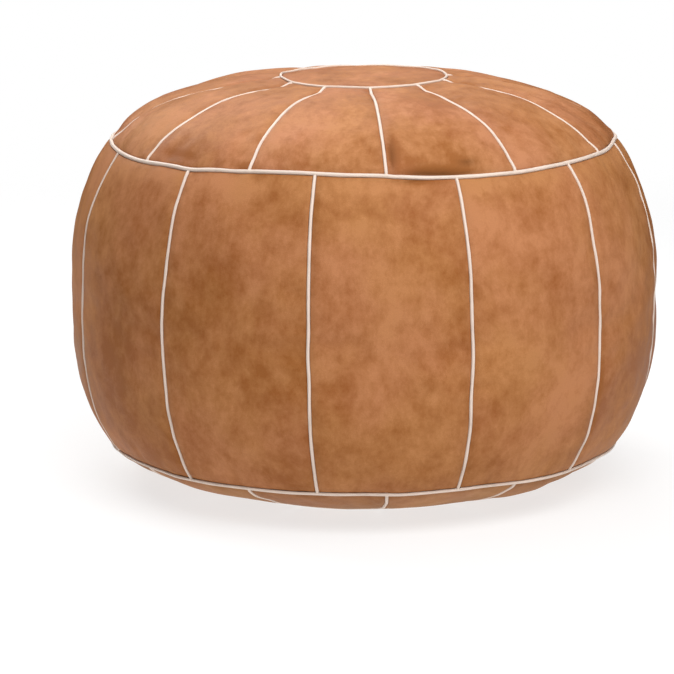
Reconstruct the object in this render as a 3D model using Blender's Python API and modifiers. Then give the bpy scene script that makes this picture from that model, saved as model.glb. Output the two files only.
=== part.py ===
"""Moroccan leather pouf: twelve-gore stitched cover with piped seams, base zip and stuffing.

Metres, +Z up. The origin is on the floor under the middle of the pouf, and -Y is the front.
"""

from math import cos, pi, radians, sin, tau

import bmesh
import bpy
import numpy as np
from mathutils import Vector

MM = 0.001

# The turned outline, as (radius, height) of the four piped rings and the widest level.
WIDEST_R = 317.5 * MM
WIDEST_Z = 208.0 * MM
CROWN_Z = 445.0 * MM
DISC_RING = (92.4 * MM, 441.4 * MM)
TOP_RING = (274.0 * MM, 374.1 * MM)
LOW_RING = (277.8 * MM, 47.0 * MM)
BASE_RING = (160.0 * MM, 2.4 * MM)
SIDE_POWER_UP = 2.7
SIDE_POWER_DOWN = 3.1
DOME_HANDLES = (76.8 * MM, 54.6 * MM)
DOME_SLOPES = (radians(3.6), radians(55.7))
SKIRT_HANDLES = (18.1 * MM, 39.1 * MM)
SKIRT_SLOPES = (radians(68.8), radians(10.2))

# The cover.
GORES = 12
GORE_ANGLE = tau / GORES
LEATHER = 1.5 * MM
SEAM_DIP = 2.5 * MM
DIP_SHARE_OF_WIDTH = 0.03
RING_DIP = 1.5 * MM
GAP = 0.3 * MM
RING_GAP = 0.6 * MM
SHOULDER_CORD_R = 2.7 * MM
SEAM_CORD_R = 1.9 * MM
DISC_CORD_R = 2.3 * MM
BASE_CORD_R = 2.0 * MM
RING_POINTS = 72
SMALL_RING_POINTS = 36
PANEL_COLUMNS = 6
DOME_ROWS = 7
SIDE_ROWS = 10
SKIRT_ROWS = 5

# The base: two half discs that rise into a shallow valley along the zip.
HALF_DISC_R = 157.0 * MM
SLOT_HALF = 6.0 * MM
VALLEY_HALF = 30.0 * MM
VALLEY_DEPTH = 3.2 * MM
VALLEY_ROWS = 4
ARC_ROWS = 8

# The zip, along X. Its rows of teeth stand apart by the gap that the slider's post runs in.
ZIP_Z = 5.3 * MM
TEETH_LENGTH = 264.0 * MM
TEETH_INNER_Y = 0.5 * MM
TEETH_OUTER_Y = 3.2 * MM
TEETH_THICKNESS = 2.4 * MM
TOOTH_PITCH = 6.0 * MM
TOOTH_DEPTH = 1.2 * MM
TAPE_LENGTH = 300.0 * MM
TAPE_OUTER_Y = 16.0 * MM
TAPE_THICKNESS = 0.6 * MM
STOP_LENGTH = 3.0 * MM
SLIDER_LENGTH = 12.0 * MM
SLIDER_HALF_WIDTH = 5.0 * MM
SLIDER_PLATE = 1.0 * MM
SLIDER_X = 125.0 * MM
POST_LENGTH = 4.0 * MM
POST_THICKNESS = 0.6 * MM
BAIL_WIDTH = 1.6 * MM
BAIL_BAR = 0.8 * MM
BAIL_SPAN = 5.6 * MM
BAIL_DROP = 2.2 * MM
PULL_DROP = 0.7 * MM
PULL_THICKNESS = 0.8 * MM
PULL_BAR = 0.8 * MM
PULL_EYE_LENGTH = 4.6 * MM
PULL_EYE_HALF = 1.2 * MM
PULL_HALF_WIDTH = 3.5 * MM
PULL_LENGTH = 24.0 * MM

# The stuffing.
STUFFING_INSET = 8.0 * MM
STUFFING_BASE_R = 150.0 * MM
STUFFING_BASE_Z = 4.0 * MM
STUFFING_ROWS = 5
CHANNEL_HALF = 17.5 * MM
CHANNEL_TOP = 8.2 * MM

WELD = 0.01 * MM
TURN_STEPS = 36


def clear_scene():
    for obj in list(bpy.data.objects):
        bpy.data.objects.remove(obj, do_unlink=True)


def new_collection(name):
    collection = bpy.data.collections.new(name)
    bpy.context.scene.collection.children.link(collection)
    return collection


def principled(name, color, roughness, metallic=0.0):
    material = bpy.data.materials.new(name)
    material.use_nodes = True
    shader = material.node_tree.nodes["Principled BSDF"]
    shader.inputs["Base Color"].default_value = (*color, 1.0)
    shader.inputs["Roughness"].default_value = roughness
    shader.inputs["Metallic"].default_value = metallic
    material.diffuse_color = (*color, 1.0)
    return material


def make_materials():
    return {
        "side_leather": principled("side_leather", (0.36, 0.15, 0.055), 0.5),
        "top_leather": principled("top_leather", (0.42, 0.18, 0.07), 0.5),
        "base_leather": principled("base_leather", (0.34, 0.15, 0.06), 0.6),
        "piping": principled("piping", (0.78, 0.68, 0.56), 0.5),
        "zip_tape": principled("zip_tape", (0.40, 0.24, 0.12), 0.85),
        "zip_teeth": principled("zip_teeth", (0.62, 0.44, 0.18), 0.35, 1.0),
        "zip_metal": principled("zip_metal", (0.66, 0.47, 0.20), 0.3, 1.0),
        "stuffing": principled("stuffing", (0.80, 0.78, 0.74), 0.95),
    }


def link_mesh(name, mesh, collection, material=None):
    obj = bpy.data.objects.new(name, mesh)
    collection.objects.link(obj)
    if material:
        obj.data.materials.clear()
        obj.data.materials.append(material)
    return obj


def shade_round(obj, angle=40.0):
    obj.data.shade_smooth()
    obj.data.set_sharp_from_angle(angle=radians(angle))


def add_modifier(obj, kind, **settings):
    modifier = obj.modifiers.new(kind.title(), kind)
    for key, value in settings.items():
        setattr(modifier, key, value)
    return modifier


def mark_as_guide(obj):
    obj.hide_render = True
    obj.display_type = "WIRE"


# Outline sections, each a fine polyline of (radius, height) from its upper to its lower ring.


def bezier(start, start_handle, end_handle, end, count=240):
    t = np.linspace(0.0, 1.0, count)[:, None]
    points = [np.array(p) for p in (start, start_handle, end_handle, end)]
    weights = ((1 - t) ** 3, 3 * (1 - t) ** 2 * t, 3 * (1 - t) * t**2, t**3)
    return sum(w * p for w, p in zip(weights, points))


def step_from(point, length, slope, outward):
    """Moves a profile point outward or inward, down its slope when outward and up when inward."""
    side = 1.0 if outward else -1.0
    return (point[0] + side * length * cos(slope), point[1] - side * length * sin(slope))


def dome_section():
    first = step_from(DISC_RING, DOME_HANDLES[0], DOME_SLOPES[0], outward=True)
    second = step_from(TOP_RING, DOME_HANDLES[1], DOME_SLOPES[1], outward=False)
    return bezier(DISC_RING, first, second, TOP_RING)


def side_section():
    heights = np.linspace(TOP_RING[1], LOW_RING[1], 480)
    above = np.clip((heights - WIDEST_Z) / (TOP_RING[1] - WIDEST_Z), 0.0, 1.0)
    below = np.clip((WIDEST_Z - heights) / (WIDEST_Z - LOW_RING[1]), 0.0, 1.0)
    r = WIDEST_R - (WIDEST_R - TOP_RING[0]) * above**SIDE_POWER_UP
    r = r - (WIDEST_R - LOW_RING[0]) * below**SIDE_POWER_DOWN
    return np.stack([r, heights], axis=1)


def skirt_section():
    slope_in = SKIRT_SLOPES[0]
    first = (
        LOW_RING[0] - SKIRT_HANDLES[0] * cos(slope_in),
        LOW_RING[1] - SKIRT_HANDLES[0] * sin(slope_in),
    )
    second = (
        BASE_RING[0] + SKIRT_HANDLES[1] * cos(SKIRT_SLOPES[1]),
        BASE_RING[1] + SKIRT_HANDLES[1] * sin(SKIRT_SLOPES[1]),
    )
    return bezier(LOW_RING, first, second, BASE_RING)


class Section:
    """A stretch of the outline between two rings, read by its arc length."""

    def __init__(self, points):
        steps = np.linalg.norm(np.diff(points, axis=0), axis=1)
        self.points = points
        self.arc = np.concatenate([[0.0], np.cumsum(steps)])
        self.length = self.arc[-1]
        along = np.gradient(points, self.arc, axis=0)
        along /= np.linalg.norm(along, axis=1)[:, None]
        self.normals = np.stack([-along[:, 1], along[:, 0]], axis=1)

    def at(self, arc, inset=0.0):
        """Returns the (radius, height) at an arc length, moved in by inset along the normal."""
        r, z = (np.interp(arc, self.arc, self.points[:, i]) for i in range(2))
        nr, nz = (np.interp(arc, self.arc, self.normals[:, i]) for i in range(2))
        return r - inset * nr, z - inset * nz

    def ring_dip(self, arc):
        place = 2.0 * arc / self.length - 1.0
        return RING_DIP * abs(place) ** 8

    def seam_dip(self, arc):
        r, _ = self.at(arc)
        return min(SEAM_DIP, DIP_SHARE_OF_WIDTH * r * GORE_ANGLE)

    def rows(self, count, start_gap, end_gap):
        return np.linspace(start_gap, self.length - end_gap, count + 1)


def polar(r, angle, z):
    return Vector((r * cos(angle), r * sin(angle), z))


def make_panel(name, section, arcs, first_seam, collection, material):
    """Bends a grid into one gore between two seams, and gives it the leather's thickness."""
    rows = len(arcs) - 1
    clear = SEAM_CORD_R + GAP
    bm = bmesh.new()
    bmesh.ops.create_grid(bm, x_segments=PANEL_COLUMNS, y_segments=rows, size=1.0)
    for vert in bm.verts:
        u, v = vert.co.x, vert.co.y
        arc = arcs[round((1.0 - v) / 2.0 * rows)]
        dip = section.seam_dip(arc) * u**4 + section.ring_dip(arc)
        r, z = section.at(arc, dip)
        half_angle = GORE_ANGLE / 2.0 - clear / r
        vert.co = polar(r, first_seam + GORE_ANGLE / 2.0 + u * half_angle, z)
    mesh = bpy.data.meshes.new(name)
    bm.to_mesh(mesh)
    bm.free()
    obj = link_mesh(name, mesh, collection, material)
    add_modifier(obj, "SOLIDIFY", thickness=LEATHER, offset=-1.0, use_even_offset=True)
    shade_round(obj)
    return obj


def make_gores(base_name, section, arcs, seam_offset, collection, material):
    for index in range(GORES):
        seam = seam_offset + index * GORE_ANGLE
        make_panel(f"{base_name}_{index + 1:02d}", section, arcs, seam, collection, material)


def seam_path(section, arcs, angle, start=None, end=None):
    """Runs down a seam at the bottom of its dip, from ring to ring where they are given."""
    points = []
    for arc in arcs:
        r, z = section.at(arc, section.seam_dip(arc) + section.ring_dip(arc))
        points.append(polar(r, angle, z))
    if start:
        points.insert(0, polar(start[0], angle, start[1]))
    if end:
        points.append(polar(end[0], angle, end[1]))
    return points


def make_tube(name, paths, radius, collection, cyclic=False):
    """Makes one mesh object of round tubes along the given paths."""
    curve = bpy.data.curves.new(name, "CURVE")
    curve.dimensions = "3D"
    curve.bevel_depth = radius
    curve.bevel_resolution = 1
    curve.use_fill_caps = not cyclic
    for path in paths:
        spline = curve.splines.new("POLY")
        spline.points.add(len(path) - 1)
        for point, place in zip(spline.points, path):
            point.co = (*place, 1.0)
        spline.use_cyclic_u = cyclic
    drawn = bpy.data.objects.new(name + "_curve", curve)
    collection.objects.link(drawn)
    depsgraph = bpy.context.evaluated_depsgraph_get()
    mesh = bpy.data.meshes.new_from_object(drawn.evaluated_get(depsgraph))
    bm = bmesh.new()
    bm.from_mesh(mesh)
    bmesh.ops.remove_doubles(bm, verts=bm.verts, dist=WELD)
    bmesh.ops.recalc_face_normals(bm, faces=bm.faces)
    bm.to_mesh(mesh)
    bm.free()
    obj = link_mesh(name, mesh, collection)
    obj.matrix_world = drawn.matrix_world
    bpy.data.objects.remove(drawn, do_unlink=True)
    shade_round(obj)
    return obj


def ring_path(ring, count):
    return [polar(ring[0], tau * i / count, ring[1]) for i in range(count)]


def make_ring(name, ring, radius, count, collection, material):
    obj = make_tube(name, [ring_path(ring, count)], radius, collection, cyclic=True)
    obj.data.materials.append(material)
    return obj


def dipped(section, arc, share=0.5):
    """Returns where a ring's cord lies: between the panels' middles and their corners."""
    return section.at(arc, RING_DIP + share * section.seam_dip(arc))


def join_cords(ring_obj, paths, radius, cutters):
    cords = make_tube(ring_obj.name + "_cords", paths, radius, cutters)
    mark_as_guide(cords)
    add_modifier(ring_obj, "BOOLEAN", operation="UNION", object=cords, solver="EXACT")


def make_cover(parts, cutters, materials):
    dome = Section(dome_section())
    side = Section(side_section())
    skirt = Section(skirt_section())
    shoulder_gap = SHOULDER_CORD_R + RING_GAP
    dome_arcs = dome.rows(DOME_ROWS, DISC_CORD_R + RING_GAP, shoulder_gap)
    side_arcs = side.rows(SIDE_ROWS, shoulder_gap, shoulder_gap)
    skirt_arcs = skirt.rows(SKIRT_ROWS, shoulder_gap, BASE_CORD_R + RING_GAP)
    side_offset = GORE_ANGLE / 2.0

    make_gores("top_gore", dome, dome_arcs, 0.0, parts, materials["top_leather"])
    make_gores("side_panel", side, side_arcs, side_offset, parts, materials["side_leather"])
    make_gores("bottom_gore", skirt, skirt_arcs, 0.0, parts, materials["base_leather"])

    disc_ring = dipped(dome, 0.0, share=0.0)
    top_ring = dipped(side, 0.0)
    low_ring = dipped(side, side.length)
    top_seams = [index * GORE_ANGLE for index in range(GORES)]
    side_seams = [side_offset + angle for angle in top_seams]
    piping = materials["piping"]

    crown = make_ring("crown_piping", disc_ring, DISC_CORD_R, SMALL_RING_POINTS, parts, piping)
    paths = [seam_path(dome, dome_arcs, angle, start=disc_ring) for angle in top_seams]
    join_cords(crown, paths, SEAM_CORD_R, cutters)

    make_ring("top_shoulder_piping", top_ring, SHOULDER_CORD_R, RING_POINTS, parts, piping)

    sides = make_ring("side_piping", low_ring, SHOULDER_CORD_R, RING_POINTS, parts, piping)
    paths = [seam_path(side, side_arcs, angle, end=low_ring) for angle in side_seams]
    join_cords(sides, paths, SEAM_CORD_R, cutters)

    base = make_ring("base_piping", BASE_RING, BASE_CORD_R, SMALL_RING_POINTS, parts, piping)
    paths = [seam_path(skirt, skirt_arcs, angle, end=BASE_RING) for angle in top_seams]
    join_cords(base, paths, SEAM_CORD_R - GAP, cutters)


def make_turned(name, profile, collection, material):
    """Turns a profile that runs from its upper end to its lower end."""
    bm = bmesh.new()
    verts = [bm.verts.new((r, 0.0, z)) for r, z in profile]
    for upper, lower in zip(verts, verts[1:]):
        bm.edges.new((upper, lower))
    mesh = bpy.data.meshes.new(name)
    bm.to_mesh(mesh)
    bm.free()
    obj = link_mesh(name, mesh, collection, material)
    add_modifier(
        obj,
        "SCREW",
        angle=tau,
        steps=TURN_STEPS,
        render_steps=TURN_STEPS,
        use_merge_vertices=True,
        merge_threshold=0.1 * MM,
        use_smooth_shade=True,
    )
    return obj


def make_top_disc(parts, materials):
    edge_r = DISC_RING[0] - DISC_CORD_R - GAP
    edge_z = DISC_RING[1] - RING_DIP
    profile = []
    for share in np.linspace(0.0, 1.0, 6):
        profile.append((share * edge_r, CROWN_Z - (CROWN_Z - edge_z) * share**2))
    disc = make_turned("top_disc", profile, parts, materials["top_leather"])
    add_modifier(disc, "SOLIDIFY", thickness=LEATHER, offset=-1.0, use_even_offset=True)


def valley_height(y):
    rise = np.clip((VALLEY_HALF - y) / (VALLEY_HALF - SLOT_HALF), 0.0, 1.0)
    return VALLEY_DEPTH * rise * rise * (3.0 - 2.0 * rise)


def make_base_half(name, side, parts, material):
    """Makes the half disc on one side of the zip, flat on the floor away from the zip."""
    valley = np.linspace(SLOT_HALF, VALLEY_HALF, VALLEY_ROWS + 1)
    first_angle = np.arcsin(VALLEY_HALF / HALF_DISC_R)
    arc = HALF_DISC_R * np.sin(np.linspace(first_angle, pi / 2.0, ARC_ROWS + 1))[1:]
    bm = bmesh.new()
    last = None
    for y in np.concatenate([valley, arc]):
        reach = np.sqrt(max(HALF_DISC_R**2 - y**2, 0.0))
        ends = [bm.verts.new((x, side * y, valley_height(y))) for x in (-reach, reach)]
        if last:
            bm.faces.new((last[0], last[1], ends[1], ends[0]))
        last = ends
    bmesh.ops.remove_doubles(bm, verts=bm.verts, dist=WELD)
    bmesh.ops.recalc_face_normals(bm, faces=bm.faces)
    if bm.faces[:][0].normal.z > 0.0:
        bmesh.ops.reverse_faces(bm, faces=bm.faces)
    mesh = bpy.data.meshes.new(name)
    bm.to_mesh(mesh)
    bm.free()
    obj = link_mesh(name, mesh, parts, material)
    add_modifier(obj, "SOLIDIFY", thickness=LEATHER, offset=-1.0, use_even_offset=False)
    return obj


def make_box(name, size, center, collection, material=None):
    bm = bmesh.new()
    bmesh.ops.create_cube(bm, size=1.0)
    bmesh.ops.scale(bm, vec=size, verts=bm.verts)
    bmesh.ops.translate(bm, vec=center, verts=bm.verts)
    mesh = bpy.data.meshes.new(name)
    bm.to_mesh(mesh)
    bm.free()
    return link_mesh(name, mesh, collection, material)


def make_flat(name, outlines, thickness, collection, material):
    """Fills flat outlines, the first the outer one, to a plate centred on its own plane."""
    curve = bpy.data.curves.new(name, "CURVE")
    curve.dimensions = "2D"
    curve.fill_mode = "BOTH"
    curve.extrude = thickness / 2.0
    for outline in outlines:
        spline = curve.splines.new("POLY")
        spline.points.add(len(outline) - 1)
        for point, (x, y) in zip(spline.points, outline):
            point.co = (x, y, 0.0, 1.0)
        spline.use_cyclic_u = True
    curve.materials.append(material)
    obj = bpy.data.objects.new(name, curve)
    collection.objects.link(obj)
    return obj


def tooth_outline(side):
    """Returns one row of teeth, with a notch in its inner edge between every two teeth."""
    count = round(TEETH_LENGTH / TOOTH_PITCH)
    points = []
    for index in range(count):
        left = -TEETH_LENGTH / 2.0 + index * TOOTH_PITCH
        notch = left + TOOTH_PITCH * 0.6
        root = TEETH_INNER_Y + TOOTH_DEPTH
        points += [(left, TEETH_INNER_Y), (notch, TEETH_INNER_Y)]
        points += [(notch, root), (left + TOOTH_PITCH, root)]
    points += [(TEETH_LENGTH / 2.0, TEETH_OUTER_Y), (-TEETH_LENGTH / 2.0, TEETH_OUTER_Y)]
    return [(x, side * y) for x, y in points]


def make_zip_side(word, side, parts, materials):
    teeth = make_flat(
        f"zip_teeth_{word}", [tooth_outline(side)], TEETH_THICKNESS, parts, materials["zip_teeth"]
    )
    teeth.location.z = ZIP_Z
    inner = TEETH_OUTER_Y + GAP
    size = (TAPE_LENGTH, TAPE_OUTER_Y - inner, TAPE_THICKNESS)
    center = (0.0, side * (TAPE_OUTER_Y + inner) / 2.0, ZIP_Z)
    make_box(f"zip_tape_{word}", size, center, parts, materials["zip_tape"])


def make_stop(name, side, parts, materials):
    size = (STOP_LENGTH, 2.0 * TEETH_OUTER_Y, TEETH_THICKNESS)
    x = side * (TEETH_LENGTH / 2.0 + GAP + STOP_LENGTH / 2.0)
    make_box(name, size, (x, 0.0, ZIP_Z), parts, materials["zip_metal"])


def make_slider(parts, cutters, materials):
    """Makes two plates joined by a thin post, with a bail under the lower plate."""
    plate_size = (SLIDER_LENGTH, 2.0 * SLIDER_HALF_WIDTH, SLIDER_PLATE)
    plate_z = TEETH_THICKNESS / 2.0 + GAP + SLIDER_PLATE / 2.0
    under = plate_z + SLIDER_PLATE / 2.0
    slider = make_box("zip_slider", plate_size, (0, 0, plate_z), parts, materials["zip_metal"])
    slider.location = (SLIDER_X, 0.0, ZIP_Z)

    def join(name, size, center):
        piece = make_box(f"zip_slider_{name}", size, center, cutters)
        piece.location = slider.location
        mark_as_guide(piece)
        add_modifier(slider, "BOOLEAN", operation="UNION", object=piece, solver="EXACT")

    post_x = SLIDER_LENGTH / 2.0 - POST_LENGTH / 2.0
    join("post", (POST_LENGTH, POST_THICKNESS, 2.0 * plate_z), (post_x, 0.0, 0.0))
    join("plate", plate_size, (0.0, 0.0, -plate_z))
    leg = BAIL_DROP + SLIDER_PLATE / 2.0
    leg_z = -under + SLIDER_PLATE / 2.0 - leg / 2.0
    for word, sign in (("front_leg", 1.0), ("back_leg", -1.0)):
        leg_x = sign * (BAIL_SPAN - BAIL_BAR) / 2.0
        join(word, (BAIL_BAR, BAIL_WIDTH, leg), (leg_x, 0.0, leg_z))
    bar_z = -under - BAIL_DROP + BAIL_BAR / 2.0
    join("bar", (BAIL_SPAN, BAIL_WIDTH, BAIL_BAR), (0.0, 0.0, bar_z))
    return slider


def make_pull(slider, parts, materials):
    """Makes the flat pull, whose end bar lies in the slider's bail, on the hinge axis."""
    near = PULL_BAR / 2.0
    far = near - PULL_LENGTH
    corner = PULL_HALF_WIDTH * 0.4
    outer = [
        (near, -PULL_HALF_WIDTH),
        (near, PULL_HALF_WIDTH),
        (far + corner, PULL_HALF_WIDTH),
        (far, PULL_HALF_WIDTH - corner),
        (far, corner - PULL_HALF_WIDTH),
        (far + corner, -PULL_HALF_WIDTH),
    ]
    eye_far = -near - PULL_EYE_LENGTH
    eye = [(-near, -PULL_EYE_HALF), (-near, PULL_EYE_HALF)]
    eye += [(eye_far, PULL_EYE_HALF), (eye_far, -PULL_EYE_HALF)]
    pull = make_flat("zip_pull", [outer, eye], PULL_THICKNESS, parts, materials["zip_metal"])
    under = TEETH_THICKNESS / 2.0 + GAP + SLIDER_PLATE
    pull.location = slider.location + Vector((0.0, 0.0, -under - PULL_DROP))


def make_zip(parts, cutters, materials):
    for word, side in (("front", -1.0), ("back", 1.0)):
        make_zip_side(word, side, parts, materials)
    make_stop("zip_top_stop", 1.0, parts, materials)
    make_stop("zip_bottom_stop", -1.0, parts, materials)
    slider = make_slider(parts, cutters, materials)
    make_pull(slider, parts, materials)


def make_stuffing(parts, cutters, materials):
    profile = [(0.0, CROWN_Z - STUFFING_INSET)]
    for points in (dome_section(), side_section(), skirt_section()):
        section = Section(points)
        for arc in section.rows(STUFFING_ROWS, 0.0, 0.0)[:-1]:
            profile.append(section.at(arc, STUFFING_INSET))
    profile += [(STUFFING_BASE_R, STUFFING_BASE_Z), (0.0, STUFFING_BASE_Z)]
    stuffing = make_turned("stuffing", profile, parts, materials["stuffing"])
    size = (3.0 * WIDEST_R, 2.0 * CHANNEL_HALF, 2.0 * CHANNEL_TOP)
    channel = make_box("stuffing_channel", size, (0.0, 0.0, 0.0), cutters)
    mark_as_guide(channel)
    add_modifier(stuffing, "BOOLEAN", operation="DIFFERENCE", object=channel, solver="EXACT")


def main():
    clear_scene()
    parts = new_collection("moroccan_leather_pouf")
    cutters = new_collection("cutters")
    materials = make_materials()
    make_cover(parts, cutters, materials)
    make_top_disc(parts, materials)
    make_base_half("base_half_front", -1.0, parts, materials["base_leather"])
    make_base_half("base_half_back", 1.0, parts, materials["base_leather"])
    make_zip(parts, cutters, materials)
    make_stuffing(parts, cutters, materials)


main()
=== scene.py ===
"""Looks of a stuffed leather pouf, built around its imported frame.

The cover is cut and sewn as on a bench: gores and panels of mottled hide are laid between wandering
seam lines, puffed by the stuffing, and tucked beside strips of cream piping. The zip, the base and
the stuffing follow, then the studio. Lengths are in metres, +Z is up, and -Y is the front.
"""

import logging
from contextlib import contextmanager
from dataclasses import dataclass, field, replace
from enum import Enum, IntEnum
from math import cos, pi, radians, sin, tau
from typing import Iterable, Iterator, Sequence

import bmesh
import bpy
import numpy as np
from bpy.types import Material, Mesh, Node, NodeSocket, NodeTree, Object
from mathutils import Matrix, Vector


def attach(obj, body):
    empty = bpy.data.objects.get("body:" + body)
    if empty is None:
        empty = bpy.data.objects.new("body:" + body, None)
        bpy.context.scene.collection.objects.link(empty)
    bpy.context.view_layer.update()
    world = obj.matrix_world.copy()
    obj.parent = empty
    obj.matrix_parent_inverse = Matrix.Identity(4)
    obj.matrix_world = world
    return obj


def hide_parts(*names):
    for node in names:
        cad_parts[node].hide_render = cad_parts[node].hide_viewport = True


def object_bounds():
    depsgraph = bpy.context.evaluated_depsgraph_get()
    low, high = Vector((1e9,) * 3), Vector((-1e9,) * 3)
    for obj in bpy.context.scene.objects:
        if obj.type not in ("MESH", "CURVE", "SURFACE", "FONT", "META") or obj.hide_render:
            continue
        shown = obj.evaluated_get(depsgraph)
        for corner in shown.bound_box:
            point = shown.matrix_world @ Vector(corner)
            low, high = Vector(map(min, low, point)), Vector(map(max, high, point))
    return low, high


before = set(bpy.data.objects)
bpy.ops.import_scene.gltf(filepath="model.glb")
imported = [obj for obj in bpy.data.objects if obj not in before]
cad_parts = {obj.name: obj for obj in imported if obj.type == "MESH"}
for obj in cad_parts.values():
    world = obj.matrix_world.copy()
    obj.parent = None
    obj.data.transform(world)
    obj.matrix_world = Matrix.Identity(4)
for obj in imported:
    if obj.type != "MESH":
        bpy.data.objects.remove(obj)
CAD_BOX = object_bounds()

MM = 0.001
GORES = 12
GORE_ANGLE = tau / GORES
FRONT = -pi / 2.0
COVER_BODY = "cover"
HIDE_UV = "hide"
# Strength of the painted shade beside the seams and rims and in the creases, kept on each vertex.
SHADE_ATTRIBUTE = "painted_shade"
# Steps paler or deeper: tone patches, with painted light below the shoulder ring and painted shade in the
# folds.
PATCH_ATTRIBUTE = "tone_and_light_patch"
SHADE_REACH = 5.0 * MM

log = logging.getLogger("pouf")

Array = np.ndarray


class Seed(IntEnum):
    """Seeds of the random draws; a piece's number is added where there is one for each."""

    BROAD_LUMPS = 5
    FINE_LUMPS = 6
    BASE_LUMPS = 31
    CROWN_SEAMS = 40
    FIBRE_LUMPS = 51
    FIBRE_TUFTS = 52
    SIDE_SEAMS = 60
    TAPE_SWAY = 71
    SKIRT_SEAMS = 80
    CORD_THICKNESS = 200
    GORE_EASE = 300


def smooth(share: Array) -> Array:
    """Eases a share between 0 and 1, so that it starts and ends level."""
    return share**2 * (3.0 - 2.0 * share)


def unit(vectors: Array) -> Array:
    """Scales vectors to a length of one."""
    return vectors / np.linalg.norm(vectors, axis=-1, keepdims=True)


def run_length(line: Array) -> Array:
    """Returns the length run along a line at each of its points."""
    return np.concatenate([[0.0], np.cumsum(np.linalg.norm(np.diff(line, axis=0), axis=1))])


def each(kind: type, *rows: tuple) -> tuple:
    """Makes one thing of a kind from each row of its values, in the order of its fields."""
    return tuple(kind(*row) for row in rows)


# Shape of the cover


@dataclass(frozen=True)
class Proportions:
    """The stuffed outline's main points, as shares of the widest radius.

    Each ring is (radius, height above the widest level).
    """

    widest_level: float = 0.6551
    disc_ring: tuple[float, float] = (0.2910, 0.7351)
    top_ring: tuple[float, float] = (0.8630, 0.5231)
    low_ring: tuple[float, float] = (0.8750, -0.5071)
    base_ring: tuple[float, float] = (0.5039, -0.6476)
    side_power_up: float = 2.7
    side_power_down: float = 3.1
    dome_handles: tuple[float, float] = (0.242, 0.172)
    dome_slopes: tuple[float, float] = (3.6, 55.7)
    skirt_handles: tuple[float, float] = (0.057, 0.123)
    skirt_slopes: tuple[float, float] = (68.8, 10.2)


def bezier(points: Sequence[tuple[float, float]], count: int = 300) -> Array:
    """Samples a cubic curve.

    Args:
        points: Start, its handle, the end's handle and the end.
        count: Number of samples.

    Returns:
        The samples, as rows of two numbers.
    """
    t = np.linspace(0.0, 1.0, count)[:, None]
    weights = ((1 - t) ** 3, 3 * (1 - t) ** 2 * t, 3 * (1 - t) * t**2, t**3)
    return sum(weight * np.array(point) for weight, point in zip(weights, points))


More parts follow.
